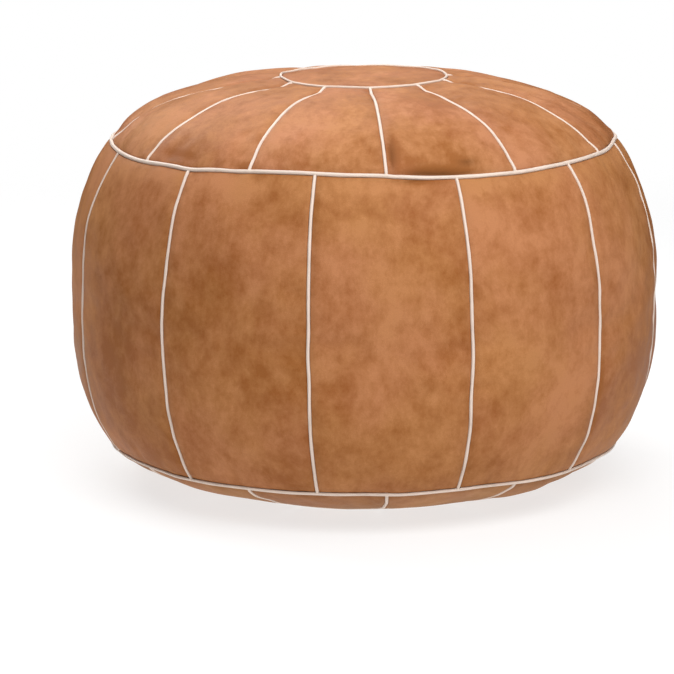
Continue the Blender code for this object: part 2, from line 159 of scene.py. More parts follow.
class Profile:
    """The turned outline from the crown's middle to the base, read by its arc length."""

    def __init__(self, widest_r: float, crown_z: float, shares: Proportions) -> None:
        """Joins the outline's stretches.

        Args:
            widest_r: The largest radius.
            crown_z: Height of the crown's middle.
            shares: The outline's main points.
        """
        self.widest_r = widest_r
        self.level = shares.widest_level * widest_r
        self.disc, self.top, self.low, self.base = (
            self._place(ring)
            for ring in (shares.disc_ring, shares.top_ring, shares.low_ring, shares.base_ring)
        )
        dome = self._bow(self.disc, self.top, shares.dome_handles, shares.dome_slopes, 1.0)
        skirt = self._bow(self.low, self.base, shares.skirt_handles, shares.skirt_slopes, -1.0)
        stretches = [self._crown(crown_z), dome, self._side(shares), skirt]
        points = np.vstack([stretches[0]] + [stretch[1:] for stretch in stretches[1:]])
        self.arc = run_length(points)
        self.points = points
        ends = np.cumsum([len(stretch) - 1 for stretch in stretches])
        self.disc_arc, self.top_arc, self.low_arc, self.base_arc = (self.arc[end] for end in ends)
        self.normals = self._normals()

    def _place(self, share: tuple[float, float]) -> tuple[float, float]:
        """Turns a pair of shares into a radius and a height."""
        return share[0] * self.widest_r, self.level + share[1] * self.widest_r

    def _crown(self, crown_z: float) -> Array:
        """Returns the shallow cap over the crown disc."""
        r = np.linspace(0.0, self.disc[0], 120)
        z = crown_z - (crown_z - self.disc[1]) * (r / self.disc[0]) ** 2
        return np.stack([r, z], axis=1)

    def _bow(self, start: tuple, end: tuple, handles: tuple, slopes: tuple, outward: float) -> Array:
        """Returns the bowed stretch between two rings.

        Args:
            start: The upper ring's radius and height.
            end: The lower ring's radius and height.
            handles: Lengths of its two handles, as shares of the widest radius.
            slopes: Its slopes at the two rings, in degrees.
            outward: 1 where it runs outward on its way down, -1 where it runs inward.
        """
        first, last = (length * self.widest_r for length in handles)
        leave, arrive = (radians(slope) for slope in slopes)
        after = (start[0] + outward * first * cos(leave), start[1] - first * sin(leave))
        before = (end[0] - outward * last * cos(arrive), end[1] + last * sin(arrive))
        return bezier([start, after, before, end])

    def _side(self, shares: Proportions) -> Array:
        """Returns the bulging band between the shoulders."""
        z = np.linspace(self.top[1], self.low[1], 500)
        above = np.clip((z - self.level) / (self.top[1] - self.level), 0.0, 1.0)
        below = np.clip((self.level - z) / (self.level - self.low[1]), 0.0, 1.0)
        r = self.widest_r - (self.widest_r - self.top[0]) * above**shares.side_power_up
        r = r - (self.widest_r - self.low[0]) * below**shares.side_power_down
        return np.stack([r, z], axis=1)

    def _normals(self) -> Array:
        """Returns outward normals, softened a little where two stretches meet."""
        along = np.gradient(self.points, self.arc, axis=0)
        even = np.linspace(0.0, self.arc[-1], 1200)
        window = np.hanning(25)
        window /= window.sum()
        softened = []
        for axis in range(2):
            values = np.interp(even, self.arc, along[:, axis])
            padded = np.pad(values, len(window) // 2, mode="edge")
            softened.append(np.interp(self.arc, even, np.convolve(padded, window, mode="valid")))
        tangent = unit(np.stack(softened, axis=1))
        return np.stack([-tangent[:, 1], tangent[:, 0]], axis=1)

    def radius(self, arc: Array) -> Array:
        """Returns the outline's radius at each arc length."""
        return np.interp(arc, self.arc, self.points[:, 0])

    def normal(self, angle: Array, arc: Array) -> Array:
        """Returns unit outward normals at angles and arc lengths."""
        out = np.interp(arc, self.arc, self.normals[:, 0])
        up = np.interp(arc, self.arc, self.normals[:, 1])
        return np.stack([out * np.cos(angle), out * np.sin(angle), up], axis=-1)

    def surface(self, angle: Array, arc: Array, lift: Array) -> Array:
        """Returns points on the outline's surface, moved out along its normal.

        Args:
            angle: Turn about the upright axis, in radians.
            arc: Arc length down the outline.
            lift: Distance outward.

        Returns:
            Points, with a last axis of three.
        """
        r = self.radius(arc)
        z = np.interp(arc, self.arc, self.points[:, 1])
        on = np.stack([r * np.cos(angle), r * np.sin(angle), z], axis=-1)
        return on + self.normal(angle, arc) * np.asarray(lift)[..., None]


class Waves:
    """A smooth, repeatable wander made of a few sine waves."""

    def __init__(self, seed: int, size: float, length: float, count: int = 4) -> None:
        """Draws the waves.

        Args:
            seed: Picks the wander.
            size: About the largest value.
            length: The longest wavelength.
            count: Number of waves, each shorter and weaker than the last.
        """
        dice = np.random.default_rng(seed)
        order = np.arange(count)
        self.turns = 1.0 / (length * 0.62**order) * dice.uniform(0.85, 1.15, count)
        self.phases = dice.uniform(0.0, tau, count)
        self.sizes = size * 0.6**order * 0.62

    def __call__(self, place: Array) -> Array:
        """Returns the wander at each place along a line."""
        place = np.asarray(place, dtype=float)[..., None]
        return (self.sizes * np.sin(tau * self.turns * place + self.phases)).sum(axis=-1)


class Lumps:
    """A smooth, repeatable unevenness over a surface, from plane waves through space."""

    def __init__(self, seed: int, size: float, length: float, count: int = 14) -> None:
        """Draws the waves.

        Args:
            seed: Picks the lumps.
            size: About the largest height.
            length: The middle wavelength.
            count: Number of waves.
        """
        dice = np.random.default_rng(seed)
        headings = unit(dice.normal(size=(count, 3)))
        self.vectors = headings / (length * dice.uniform(0.7, 1.5, count))[:, None]
        self.phases = dice.uniform(0.0, tau, count)
        self.size = 1.4 * size / np.sqrt(count)

    def __call__(self, points: Array) -> Array:
        """Returns the height at each point."""
        return self.size * np.sin(tau * (points @ self.vectors.T) + self.phases).sum(axis=-1)


@dataclass(frozen=True)
class Slip:
    """A stretch where the leather was eased aside under the needle.

    Attributes:
        place: Its middle: a share of a seam's length, or degrees to the right of the front.
        shift: Millimetres moved: to the right on a seam, down the cover on a ring.
        reach: Its half length, in the unit of place.
    """

    place: float
    shift: float
    reach: float

    def at(self, away: Array) -> Array:
        """Returns the distance moved at each distance from its middle."""
        return self.shift * MM * np.exp(-((away / self.reach) ** 2))


@dataclass(frozen=True)
class SeamLine:
    """One seam between two gores, running down the cover.

    Attributes:
        start: Millimetres that its top lies to the right of its true place.
        end: The same for its bottom.
        slips: Its short slips.
        wander: Size of its wander.
        angle: Its true place round the pouf.
        seed: Picks its wander.
    """

    start: float
    end: float
    slips: tuple[Slip, ...] = ()
    wander: float = 0.25 * MM
    angle: float = 0.0
    seed: int = 0

    def shift(self, arc: Array, top: float, low: float) -> Array:
        """Returns the distance to the right of the true line at each arc length."""
        share = (arc - top) / (low - top)
        total = (self.start + (self.end - self.start) * share) * MM
        total = total + Waves(self.seed, self.wander, 0.2)(arc)
        for slip in self.slips:
            total = total + slip.at(share - slip.place)
        return total


def wandering_seam(seed: int) -> SeamLine:
    """Returns a seam sewn with about the same care as its neighbours, by the seed."""
    dice = np.random.default_rng(seed)
    start, end = dice.uniform(-2.2, 2.2, 2)
    places = (0.15 + 0.1 * dice.random(), 0.45 + 0.15 * dice.random(), 0.72 + 0.15 * dice.random())
    slips = tuple(Slip(place, dice.uniform(-2.0, 2.0), dice.uniform(0.06, 0.14)) for place in places)
    return SeamLine(start, end, slips, 0.35 * MM)


@dataclass(frozen=True)
class RingLine:
    """One ring of piping round the cover.

    Attributes:
        arc: Its true place down the outline.
        cord_r: Radius of its piping.
        inset: How far the leather is drawn in at the ring.
        proud: How far the piping's middle stands out from the drawn-in leather.
        slips: Where the ring strays down or up the cover.
    """

    arc: float
    cord_r: float
    inset: float
    proud: float = 0.0
    slips: tuple[Slip, ...] = ()

    def arc_at(self, angle: Array) -> Array:
        """Returns the ring's arc length at each angle."""
        angle = np.asarray(angle, dtype=float)
        side = (np.degrees(angle - FRONT) + 180.0) % 360.0 - 180.0
        total = np.full(angle.shape, self.arc)
        for slip in self.slips:
            away = (side - slip.place + 180.0) % 360.0 - 180.0
            total = total + slip.at(away)
        return total


@dataclass(frozen=True)
class Spot:
    """A soft oval place on the cover.

    Attributes:
        side: Degrees to the right of the front.
        below: Millimetres below the top shoulder ring, along the cover; negative is on the crown.
        wide: Half width, in millimetres.
        tall: Half height, in millimetres.
        strength: Its strength in the middle.
        lean: Degrees that its wide way leans down to the right.
    """

    side: float
    below: float
    wide: float
    tall: float
    strength: float
    lean: float = 0.0

    def at(self, angle: Array, arc: Array, profile: Profile) -> Array:
        """Returns its strength at places on the cover."""
        away = (angle - FRONT - radians(self.side) + pi) % tau - pi
        x = away * profile.radius(arc) / MM
        y = (arc - profile.top_arc) / MM - self.below
        lean = radians(self.lean)
        u, v = x * cos(lean) + y * sin(lean), y * cos(lean) - x * sin(lean)
        return self.strength * np.exp(-((u / self.wide) ** 2) - (v / self.tall) ** 2)


class Dent(Spot):
    """A soft hollow or fold pressed in the cover; its strength is its depth in millimetres."""

    def at(self, angle: Array, arc: Array, profile: Profile) -> Array:
        """Returns its depth at places on the cover."""
        return super().at(angle, arc, profile) * MM


class Crease(Spot):
    """A place so folded in that little light gets there; its strength is in seam's depths."""


class ToneSpot(Spot):
    """A patch of paler or deeper colour, some of it painted light and shade; its strength is in steps
    paler.
    """


@dataclass(frozen=True)
class Puff:
    """How the stuffing swells the leather between seams.

    Attributes:
        wide: Inset at a seam from the broad swelling between seams.
        roll: Further inset from the short roll beside the seam.
        share_of_width: The most that a seam's inset may be of a gore's width.
        roll_width: Width of the roll.
        ring_width: Reach of a ring's broad inset.
        near_ring: Share of a seam's inset that is left where it meets a ring.
        ring_reach: Distance from a ring over which that share grows to the whole.
        deeper: Further depth of the swelling beside the upper ring, as a share.
        deeper_reach: Distance down from the ring over which that fades.
        tuck: Depth to which the very edge goes down beside the piping.
        tuck_from: Distance from a seam at which the leather starts to turn down, in cord radii.
        tuck_to: Distance at which it stands upright beside the piping, in cord radii.
    """

    wide: float
    roll: float
    share_of_width: float
    roll_width: float = 10.0 * MM
    ring_width: float = 46.0 * MM
    near_ring: float = 0.4
    ring_reach: float = 32.0 * MM
    deeper: float = 0.0
    deeper_reach: float = 70.0 * MM
    tuck: float = 3.0 * MM
    tuck_from: float = 1.55
    tuck_to: float = 1.03

    def across(self, away: Array, width: Array, along: Array, below: Array) -> tuple[Array, Array]:
        """Returns the broad and the short inset from the seams at both sides.

        Args:
            away: Distance from the nearer seam.
            width: Distance between the seams.
            along: Distance from the upper ring.
            below: Distance from the lower ring.

        Returns:
            The broad inset and the short one.
        """
        limit = np.minimum(1.0, self.share_of_width * width / (self.wide + self.roll))
        share = np.clip(np.minimum(along, below) / self.ring_reach, 0.0, 1.0)
        limit = limit * (self.near_ring + (1.0 - self.near_ring) * smooth(share))
        limit = limit * (1.0 + self.deeper * np.exp(-np.maximum(along, 0.0) / self.deeper_reach))
        broad = np.clip(1.0 - 2.0 * away / width, 0.0, 1.0) ** 2.4
        short = np.clip(1.0 - away / self.roll_width, 0.0, 1.0) ** 2
        return self.wide * limit * broad, self.roll * limit * short

    def down(self, away: Array, inset: float) -> tuple[Array, Array]:
        """Returns the broad and the short inset beside a ring that is drawn in by inset."""
        broad = np.clip(1.0 - away / self.ring_width, 0.0, 1.0) ** 2
        short = np.clip(1.0 - away / self.roll_width, 0.0, 1.0) ** 2
        return 0.55 * inset * broad, 0.45 * inset * short

    def turned(self, away: Array, cord_r: float) -> Array:
        """Returns the depth to which the leather turns down close beside piping."""
        start = self.tuck_from * cord_r
        span = (self.tuck_from - self.tuck_to) * cord_r
        share = np.clip((start - away) / span, 0.0, 1.0)
        return span * (1.0 - np.sqrt(np.clip(1.0 - share**2, 0.0, 1.0)))


class Family(Enum):
    """The three rings of gores, named as their CAD nodes are."""

    CROWN = "top_gore"
    SIDE = "side_panel"
    SKIRT = "bottom_gore"


@dataclass(frozen=True)
class Band:
    """One ring of gores: its seams and the rings above and below it."""

    upper: RingLine
    lower: RingLine
    seams: tuple[SeamLine, ...]
    seam_cord_r: float
    puff: Puff
    rows: int
    columns: int

    def sides(self, arc: Array, index: int, radius: Array) -> tuple[Array, Array]:
        """Returns the angles of a gore's two seams at each arc length."""
        edges = []
        for step in (0, 1):
            seam = self.seams[(index + step) % GORES]
            angle = self.seams[0].angle + (index + step) * GORE_ANGLE
            shift = seam.shift(arc, self.upper.arc, self.lower.arc)
            edges.append(angle + shift / radius)
        return edges[0], edges[1]


@dataclass
class Gore:
    """One panel's lattice: where every vertex lies on the cover, and its distances to the seams."""

    angle: Array
    arc: Array
    across: Array
    width: Array
    along: Array
    height: Array


# Mesh helpers


def link(obj: Object) -> Object:
    """Puts an object in the scene's collection and returns it."""
    bpy.context.scene.collection.objects.link(obj)
    return obj


def lattice(
    name: str,
    points: Array,
    uv: Array,
    masks: dict[str, Array] | None = None,
    closed_across: bool = False,
    closed_along: bool = False,
) -> Object:
    """Makes a smooth quad mesh from rows and columns of points.

    Args:
        name: The piece's name.
        points: Points by row, column and axis.
        uv: Flat places on the hide by row and column, in metres.
        masks: Named numbers for each point, which the finishes read.
        closed_across: Joins the last column to the first.
        closed_along: Joins the last row to the first.

    Returns:
        The linked object.
    """
    rows, columns = points.shape[:2]
    row_cells = rows if closed_along else rows - 1
    column_cells = columns if closed_across else columns - 1
    i, j = np.meshgrid(np.arange(row_cells), np.arange(column_cells), indexing="ij")
    below, beside = (i + 1) % rows, (j + 1) % columns
    corners = np.stack(
        [i * columns + j, below * columns + j, below * columns + beside, i * columns + beside],
        axis=-1,
    ).reshape(-1, 4)
    mesh = bpy.data.meshes.new(name)
    mesh.from_pydata(points.reshape(-1, 3).tolist(), [], corners.tolist())
    layer = mesh.uv_layers.new(name=HIDE_UV)
    padded = pad_uv(uv)
    cells = [padded[i, j], padded[i + 1, j], padded[i + 1, j + 1], padded[i, j + 1]]
    flat = np.stack([cell.reshape(-1, 2) for cell in cells], axis=1)
    layer.data.foreach_set("uv", flat.astype(np.float32).ravel())
    for label, values in (masks or {}).items():
        attribute = mesh.attributes.new(label, "FLOAT", "POINT")
        attribute.data.foreach_set("value", values.astype(np.float32).ravel())
    mesh.shade_smooth()
    mesh.update()
    return link(bpy.data.objects.new(name, mesh))


def pad_uv(uv: Array) -> Array:
    """Carries flat places one step past the last row and column, for closed meshes."""
    last_column = 2.0 * uv[:, -1:] - uv[:, -2:-1]
    wide = np.concatenate([uv, last_column], axis=1)
    last_row = 2.0 * wide[-1:] - wide[-2:-1]
    return np.concatenate([wide, last_row], axis=0)


def sweep(
    name: str, path: Array, normals: Array, radii: Array, sides: int, closed: bool
) -> Object:
    """Makes a round tube along a path.

    Args:
        name: The piece's name.
        path: The tube's middle line.
        normals: A direction across the path at each point, which keeps the tube from twisting.
        radii: The tube's radius at each point.
        sides: Number of faces round it.
        closed: Joins the last point to the first.

    Returns:
        The linked object, with its ends rounded over where it is open.
    """
    if not closed:
        path, normals, radii = rounded_ends(path, normals, radii)
    before = np.roll(path, 1, axis=0) if closed else np.vstack([path[:1], path[:-1]])
    after = np.roll(path, -1, axis=0) if closed else np.vstack([path[1:], path[-1:]])
    tangent = unit(after - before)
    side = unit(np.cross(tangent, normals))
    up = np.cross(side, tangent)
    turn = np.linspace(0.0, tau, sides, endpoint=False)
    ring = np.cos(turn)[None, :, None] * up[:, None] + np.sin(turn)[None, :, None] * side[:, None]
    points = path[:, None] + radii[:, None, None] * ring
    uv = np.stack(np.meshgrid(turn * float(radii.max()), run_length(path)), axis=-1)
    tube = lattice(name, points, uv, closed_across=True, closed_along=closed)
    if not closed:
        close_ends(tube)
    return tube


def rounded_ends(path: Array, normals: Array, radii: Array) -> tuple[Array, Array, Array]:
    """Adds a few shrinking steps past each end of an open path."""
    steps = np.array([0.35, 0.7, 0.9])
    shrink = np.sqrt(1.0 - steps**2)
    heads, tails = unit(path[0] - path[1]), unit(path[-1] - path[-2])
    first = path[0] + heads * (radii[0] * steps[::-1])[:, None]
    last = path[-1] + tails * (radii[-1] * steps)[:, None]
    path = np.vstack([first, path, last])
    normals = np.vstack([np.repeat(normals[:1], 3, 0), normals, np.repeat(normals[-1:], 3, 0)])
    radii = np.concatenate([radii[0] * shrink[::-1], radii, radii[-1] * shrink])
    return path, normals, radii


@contextmanager
def edited(mesh: Mesh) -> Iterator[bmesh.types.BMesh]:
    """Opens a mesh for editing, and at the end turns its faces outward and writes it back."""
    bm = bmesh.new()
    bm.from_mesh(mesh)
    yield bm
    bmesh.ops.recalc_face_normals(bm, faces=bm.faces)
    bm.to_mesh(mesh)
    bm.free()


def from_bench(name: str, bm: bmesh.types.BMesh) -> Object:
    """Makes a linked object from an edited mesh, and frees that mesh."""
    mesh = bpy.data.meshes.new(name)
    bm.to_mesh(mesh)
    bm.free()
    return link(bpy.data.objects.new(name, mesh))


def close_ends(obj: Object) -> None:
    """Fills any open loops of a mesh and turns its faces outward, so that it is one closed body."""
    with edited(obj.data) as bm:
        bmesh.ops.holes_fill(bm, edges=[edge for edge in bm.edges if edge.is_boundary], sides=0)


def thicken(obj: Object, thickness: float) -> None:
    """Gives an open leather or tape surface its thickness, inward."""
    solid = obj.modifiers.new("thickness", "SOLIDIFY")
    solid.thickness = thickness
    solid.offset = -1.0


def finish_piece(
    obj: Object, body: str, nodes: Iterable[str], material: Material
) -> Object:
    """Gives a piece its material, hangs it on its body's empty and hides the CAD parts that it stands for.
    """
    obj.data.materials.clear()
    obj.data.materials.append(material)
    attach(obj, body)
    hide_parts(*nodes)
    log.info("%s: %d vertices, stands for %s", obj.name, len(obj.data.vertices), list(nodes))
    return obj


# Shader building

Feed = NodeSocket | float | tuple


class Graph:
    """A node tree that is filled by short calls."""

    def __init__(self, tree: NodeTree) -> None:
        """Takes the tree to fill."""
        self.tree = tree

    def node(self, kind: str, feeds: dict | None = None, **settings: object) -> Node:
        """Adds a node.

        Args:
            kind: The node's type, without its ShaderNode prefix.
            feeds: Input name or number to a value or to a socket to link.
            **settings: The node's own properties.

        Returns:
            The node.
        """
        node = self.tree.nodes.new("ShaderNode" + kind)
        for key, value in settings.items():
            setattr(node, key, value)
        self.fill(node, feeds or {})
        return node

    def fill(self, node: Node, feeds: dict) -> None:
        """Feeds several of a node's inputs, by name or number."""
        for key, value in feeds.items():
            self.feed(node.inputs[key], value)

    def feed(self, socket: NodeSocket, value: Feed) -> None:
        """Links a socket into an input, or sets its value."""
        if isinstance(value, NodeSocket):
            self.tree.links.new(value, socket)
        elif isinstance(value, tuple) and len(value) == 3 and socket.type == "RGBA":
            socket.default_value = (*value, 1.0)
        else:
            socket.default_value = value

    def math(self, operation: str, first: Feed, second: Feed = 0.0) -> NodeSocket:
        """Adds a Math node and returns its output."""
        return self.node("Math", {0: first, 1: second}, operation=operation).outputs[0]

    def plus(self, first: Feed, second: Feed) -> NodeSocket:
        """Adds two values."""
        return self.math("ADD", first, second)

    def less(self, first: Feed, second: Feed) -> NodeSocket:
        """Takes the second value off the first."""
        return self.math("SUBTRACT", first, second)

    def times(self, first: Feed, second: Feed) -> NodeSocket:
        """Multiplies two values."""
        return self.math("MULTIPLY", first, second)

    def blend(self, share: Feed, first: Feed, second: Feed, mode: str = "MIX") -> NodeSocket:
        """Adds a colour Mix node and returns its output."""
        node = self.node("Mix", {0: share, 6: first, 7: second}, data_type="RGBA", blend_type=mode)
        return node.outputs[2]

    def remap(
        self, value: Feed, low: float, high: float, out: tuple[float, float] = (0.0, 1.0)
    ) -> NodeSocket:
        """Stretches low..high to out, with a soft start and end."""
        feeds = {0: value, 1: low, 2: high, 3: out[0], 4: out[1]}
        return self.node("MapRange", feeds, interpolation_type="SMOOTHSTEP").outputs[0]

    def stretched(self, vector: Feed, scale: tuple[float, float, float]) -> NodeSocket:
        """Scales a vector by three numbers."""
        return self.node("Mapping", {0: vector, 3: scale}).outputs[0]

    def noise(self, vector: Feed, scale: Feed, detail: float, rough: float = 0.55) -> NodeSocket:
        """Adds a Noise node and returns its grey output."""
        feeds = {"Vector": vector, "Scale": scale, "Detail": detail, "Roughness": rough}
        return self.node("TexNoise", feeds).outputs[0]

    def on_hide(self) -> NodeSocket:
        """Returns the flat place on the hide, in metres."""
        return self.node("UVMap", uv_map=HIDE_UV).outputs[0]

    def bump(self, shader: Node, height: Feed, strength: float, distance: float) -> None:
        """Roughens a shader's surface by a height."""
        feeds = {"Strength": strength, "Distance": distance, "Height": height}
        self.feed(shader.inputs["Normal"], self.node("Bump", feeds).outputs[0])


def group(name: str, inputs: dict[str, str], outputs: dict[str, str]) -> tuple[Graph, Node, Node]:
    """Starts a shader node group.

    Args:
        name: The group's name.
        inputs: Input names to socket types.
        outputs: Output names to socket types.

    Returns:
        Its graph, its input node and its output node.
    """
    tree = bpy.data.node_groups.new(name, "ShaderNodeTree")
    for label, kind in inputs.items():
        tree.interface.new_socket(label, in_out="INPUT", socket_type="NodeSocket" + kind)
    for label, kind in outputs.items():
        tree.interface.new_socket(label, in_out="OUTPUT", socket_type="NodeSocket" + kind)
    return Graph(tree), tree.nodes.new("NodeGroupInput"), tree.nodes.new("NodeGroupOutput")


class Effects:
    """The shader groups that more than one finish uses, each built once."""

    def __init__(self) -> None:
        """Builds the groups."""
        self.dye = self._dye()
        self.grain = self._grain()
        self.weave = self._weave()

    @staticmethod
    def _dye() -> NodeTree:
        """Cloudy hand dye: how much of it took, from broad clouds down to specks, and its hue."""
        graph, inputs, outputs = group(
            "hand_dye",
            {"Place": "Vector", "Cloud Scale": "Float", "Contrast": "Float"},
            {"Tone": "Float", "Hue": "Float"},
        )
        place, scale = inputs.outputs["Place"], inputs.outputs["Cloud Scale"]
        warp = graph.node("TexNoise", {"Vector": place, "Scale": scale, "Detail": 2.0})
        bent = graph.node("VectorMath", {0: warp.outputs[1], 1: (0.03, 0.03, 0.0)}, operation="MULTIPLY")
        moved = graph.node("VectorMath", {0: place, 1: bent.outputs[0]}).outputs[0]
        tall = graph.stretched(moved, (1.0, 0.8, 1.0))
        cloud = graph.noise(tall, scale, 6.0, 0.66)
        streaks = graph.stretched(moved, (1.0, 0.72, 1.0))
        fine = graph.noise(streaks, graph.times(scale, 9.0), 4.0, 0.7)
        speck = graph.noise(moved, graph.times(scale, 60.0), 3.0, 0.6)
        tone = graph.less(cloud, 0.5)
        for part, share in ((fine, 0.55), (speck, 0.08)):
            tone = graph.plus(tone, graph.times(graph.less(part, 0.5), share))
        tone = graph.plus(graph.times(tone, inputs.outputs["Contrast"]), 0.5)
        shifted = graph.node("VectorMath", {0: tall, 1: (7.3, 2.9, 0.0)}).outputs[0]
        hue = graph.noise(shifted, graph.times(scale, 1.3), 3.0, 0.5)
        graph.fill(outputs, {"Tone": tone, "Hue": hue})
        return graph.tree

    @staticmethod
    def _grain() -> NodeTree:
        """Leather grain: pebbled cells, finer pores and a few soft creases."""
        graph, inputs, outputs = group(
            "hide_grain",
            {"Place": "Vector", "Cells": "Float", "Creases": "Float"},
            {"Height": "Float", "Valleys": "Float"},
        )
        place = inputs.outputs["Place"]
        wobble = graph.node("TexNoise", {"Vector": place, "Scale": 260.0, "Detail": 2.0})
        bent = graph.node("VectorMath", {0: wobble.outputs[1], 1: (0.0012,) * 3}, operation="MULTIPLY")
        moved = graph.node("VectorMath", {0: place, 1: bent.outputs[0]}).outputs[0]
        cells = graph.node(
            "TexVoronoi",
            {"Vector": moved, "Scale": inputs.outputs["Cells"]},
            feature="DISTANCE_TO_EDGE",
        )
        pebble = graph.remap(cells.outputs[0], 0.0, 0.32)
        pores = graph.noise(moved, graph.times(inputs.outputs["Cells"], 2.6), 2.0)
        crease = graph.noise(graph.stretched(moved, (1.0, 2.2, 1.0)), 46.0, 5.0, 0.6)
        crease = graph.math("ABSOLUTE", graph.less(crease, 0.5))
        crease = graph.remap(crease, 0.0, 0.045)
        crease = graph.times(graph.less(crease, 1.0), inputs.outputs["Creases"])
        height = graph.plus(pebble, graph.times(pores, 0.5))
        height = graph.plus(height, crease)
        graph.fill(outputs, {"Height": height, "Valleys": graph.less(1.0, pebble)})
        return graph.tree

    @staticmethod
    def _weave() -> NodeTree:
        """Plain weave: over and under threads, as a height and a thread mask."""
        graph, inputs, outputs = group(
            "plain_weave",
            {"Place": "Vector", "Threads": "Float"},
            {"Height": "Float", "Thread": "Float"},
        )
        scaled = graph.node(
            "VectorMath",
            {0: inputs.outputs["Place"], "Scale": inputs.outputs["Threads"]},
            operation="SCALE",
        )
        parts = graph.node("SeparateXYZ", {0: scaled.outputs[0]})
        waves = [graph.math("SINE", graph.times(parts.outputs[axis], pi)) for axis in (0, 1)]
        over = graph.times(waves[0], waves[1])
        warp, weft = (graph.math("ABSOLUTE", wave) for wave in waves)
        height = graph.plus(graph.times(over, 0.5), graph.math("MAXIMUM", warp, weft))
        fuzz = graph.noise(scaled.outputs[0], 3.0, 2.0)
        height = graph.plus(height, graph.times(fuzz, 0.4))
        graph.fill(outputs, {"Height": height, "Thread": graph.math("MINIMUM", warp, weft)})
        return graph.tree


def new_material(name: str) -> tuple[Material, Graph, Node]:
    """Returns a node material, its graph and its Principled shader."""
    material = bpy.data.materials.new(name)
    material.use_nodes = True
    shader = material.node_tree.nodes["Principled BSDF"]
    return material, Graph(material.node_tree), shader


@dataclass(frozen=True)
class HideFinish:
    """Semi-matte dyed hide.

    Where less dye took, the hide is paler and pinker; where more took, it is deeper and more orange.

    Attributes:
        name: The material's name.
        mid: The main colour.
        spread: How far each channel runs either side of it, as a share.
        cloud_scale: Clouds to the metre.
        contrast: Strength of the clouds.
        hue_drift: How far the hue drifts between amber and rose.
        roughness: Mean roughness.
        cells: Grain cells to the metre.
        grain_depth: Depth of the grain.
        seam_shade: Painted shade where the hide turns in beside a seam, and in the creases.
        valley_shade: Darkening between the grain's cells.
        dye_steps: Steps of dye from the main colour to the palest and the deepest.
        amber: Tint where the hue runs to amber.
        rose: Tint where it runs to rose.
        shine: Tint of the sheen.
    """

    name: str
    mid: tuple[float, float, float] = (0.425, 0.168, 0.061)
    spread: tuple[float, float, float] = (0.17, 0.25, 0.37)
    cloud_scale: float = 6.8
    contrast: float = 3.6
    hue_drift: float = 0.6
    roughness: float = 0.54
    cells: float = 620.0
    grain_depth: float = 0.12 * MM
    seam_shade: float = 0.15
    valley_shade: float = 0.07
    dye_steps: float = 1.25
    amber: tuple[float, float, float] = (0.98, 1.01, 0.87)
    rose: tuple[float, float, float] = (1.02, 0.985, 1.12)
    shine: tuple[float, float, float] = (1.0, 0.78, 0.58)

    def shade(self, steps: float) -> tuple[float, float, float, float]:
        """Returns the hide's colour at some steps of dye paler than its main colour."""
        channels = (mid * (1.0 + steps * spread) for mid, spread in zip(self.mid, self.spread))
        return (*channels, 1.0)

    def build(self, effects: Effects) -> Material:
        """Builds the material.

        Args:
            effects: The shared shader groups.

        Returns:
            The material.
        """
        material, graph, shader = new_material(self.name)
        place = graph.on_hide()
        clouds = {"Place": place, "Cloud Scale": self.cloud_scale, "Contrast": self.contrast}
        dye = graph.node("Group", clouds, node_tree=effects.dye)
        pebbles = {"Place": place, "Cells": self.cells, "Creases": 0.5}
        grain = graph.node("Group", pebbles, node_tree=effects.grain)
        # Patches paler or deeper, with painted light below the shoulder ring and painted shade in the
        # folds.
        patch = graph.node("Attribute", attribute_name=PATCH_ATTRIBUTE).outputs[2]
        tone = graph.node("ValToRGB", {0: graph.plus(dye.outputs["Tone"], patch)})
        ramp = tone.color_ramp
        ramp.elements[0].color = self.shade(-self.dye_steps)
        ramp.elements[1].color = self.shade(self.dye_steps)
        ramp.elements.new(0.5).color = self.shade(0.0)
        tint = graph.blend(graph.remap(dye.outputs["Hue"], 0.35, 0.65), self.amber, self.rose)
        color = graph.blend(self.hue_drift, tone.outputs[0], tint, "MULTIPLY")
        # Painted shade beside the seams and in the creases, times a darkening between the grain's cells.
        near = graph.node("Attribute", attribute_name=SHADE_ATTRIBUTE).outputs[2]
        seam_and_grain_shade = graph.less(1.0, graph.times(near, self.seam_shade))
        valley = graph.times(grain.outputs["Valleys"], self.valley_shade)
        seam_and_grain_shade = graph.times(seam_and_grain_shade, graph.less(1.0, valley))
        color = graph.blend(1.0, color, seam_and_grain_shade, "MULTIPLY")
        rough = graph.remap(dye.outputs["Tone"], 0.2, 0.8, (self.roughness - 0.05, self.roughness + 0.06))
        graph.fill(shader, {"Base Color": color, "Roughness": rough})
        graph.fill(shader, {"Specular IOR Level": 0.1, "Specular Tint": self.shine})
        graph.bump(shader, grain.outputs["Height"], 0.5, self.grain_depth)
        return material


@dataclass(frozen=True)
class PipingFinish:
    """Cream glove leather wrapped round a cord, a little soiled."""

    name: str = "cream_piping"
    color: tuple[float, float, float] = (0.785, 0.645, 0.55)
    soiled: tuple[float, float, float] = (0.60, 0.47, 0.38)

    def build(self, effects: Effects) -> Material:
        """Builds the material from the shared groups."""
        material, graph, shader = new_material(self.name)
        place = graph.on_hide()
        pebbles = {"Place": place, "Cells": 1100.0, "Creases": 0.9}
        grain = graph.node("Group", pebbles, node_tree=effects.grain)
        soil = graph.noise(place, 30.0, 4.0, 0.6)
        share = graph.remap(soil, 0.48, 0.74, (0.0, 0.7))
        color = graph.blend(share, self.color, self.soiled)
        rough = graph.remap(soil, 0.3, 0.7, (0.46, 0.6))
        graph.fill(shader, {"Base Color": color, "Roughness": rough, "Specular IOR Level": 0.35})
        graph.bump(shader, grain.outputs["Height"], 0.4, 0.08 * MM)
        return material


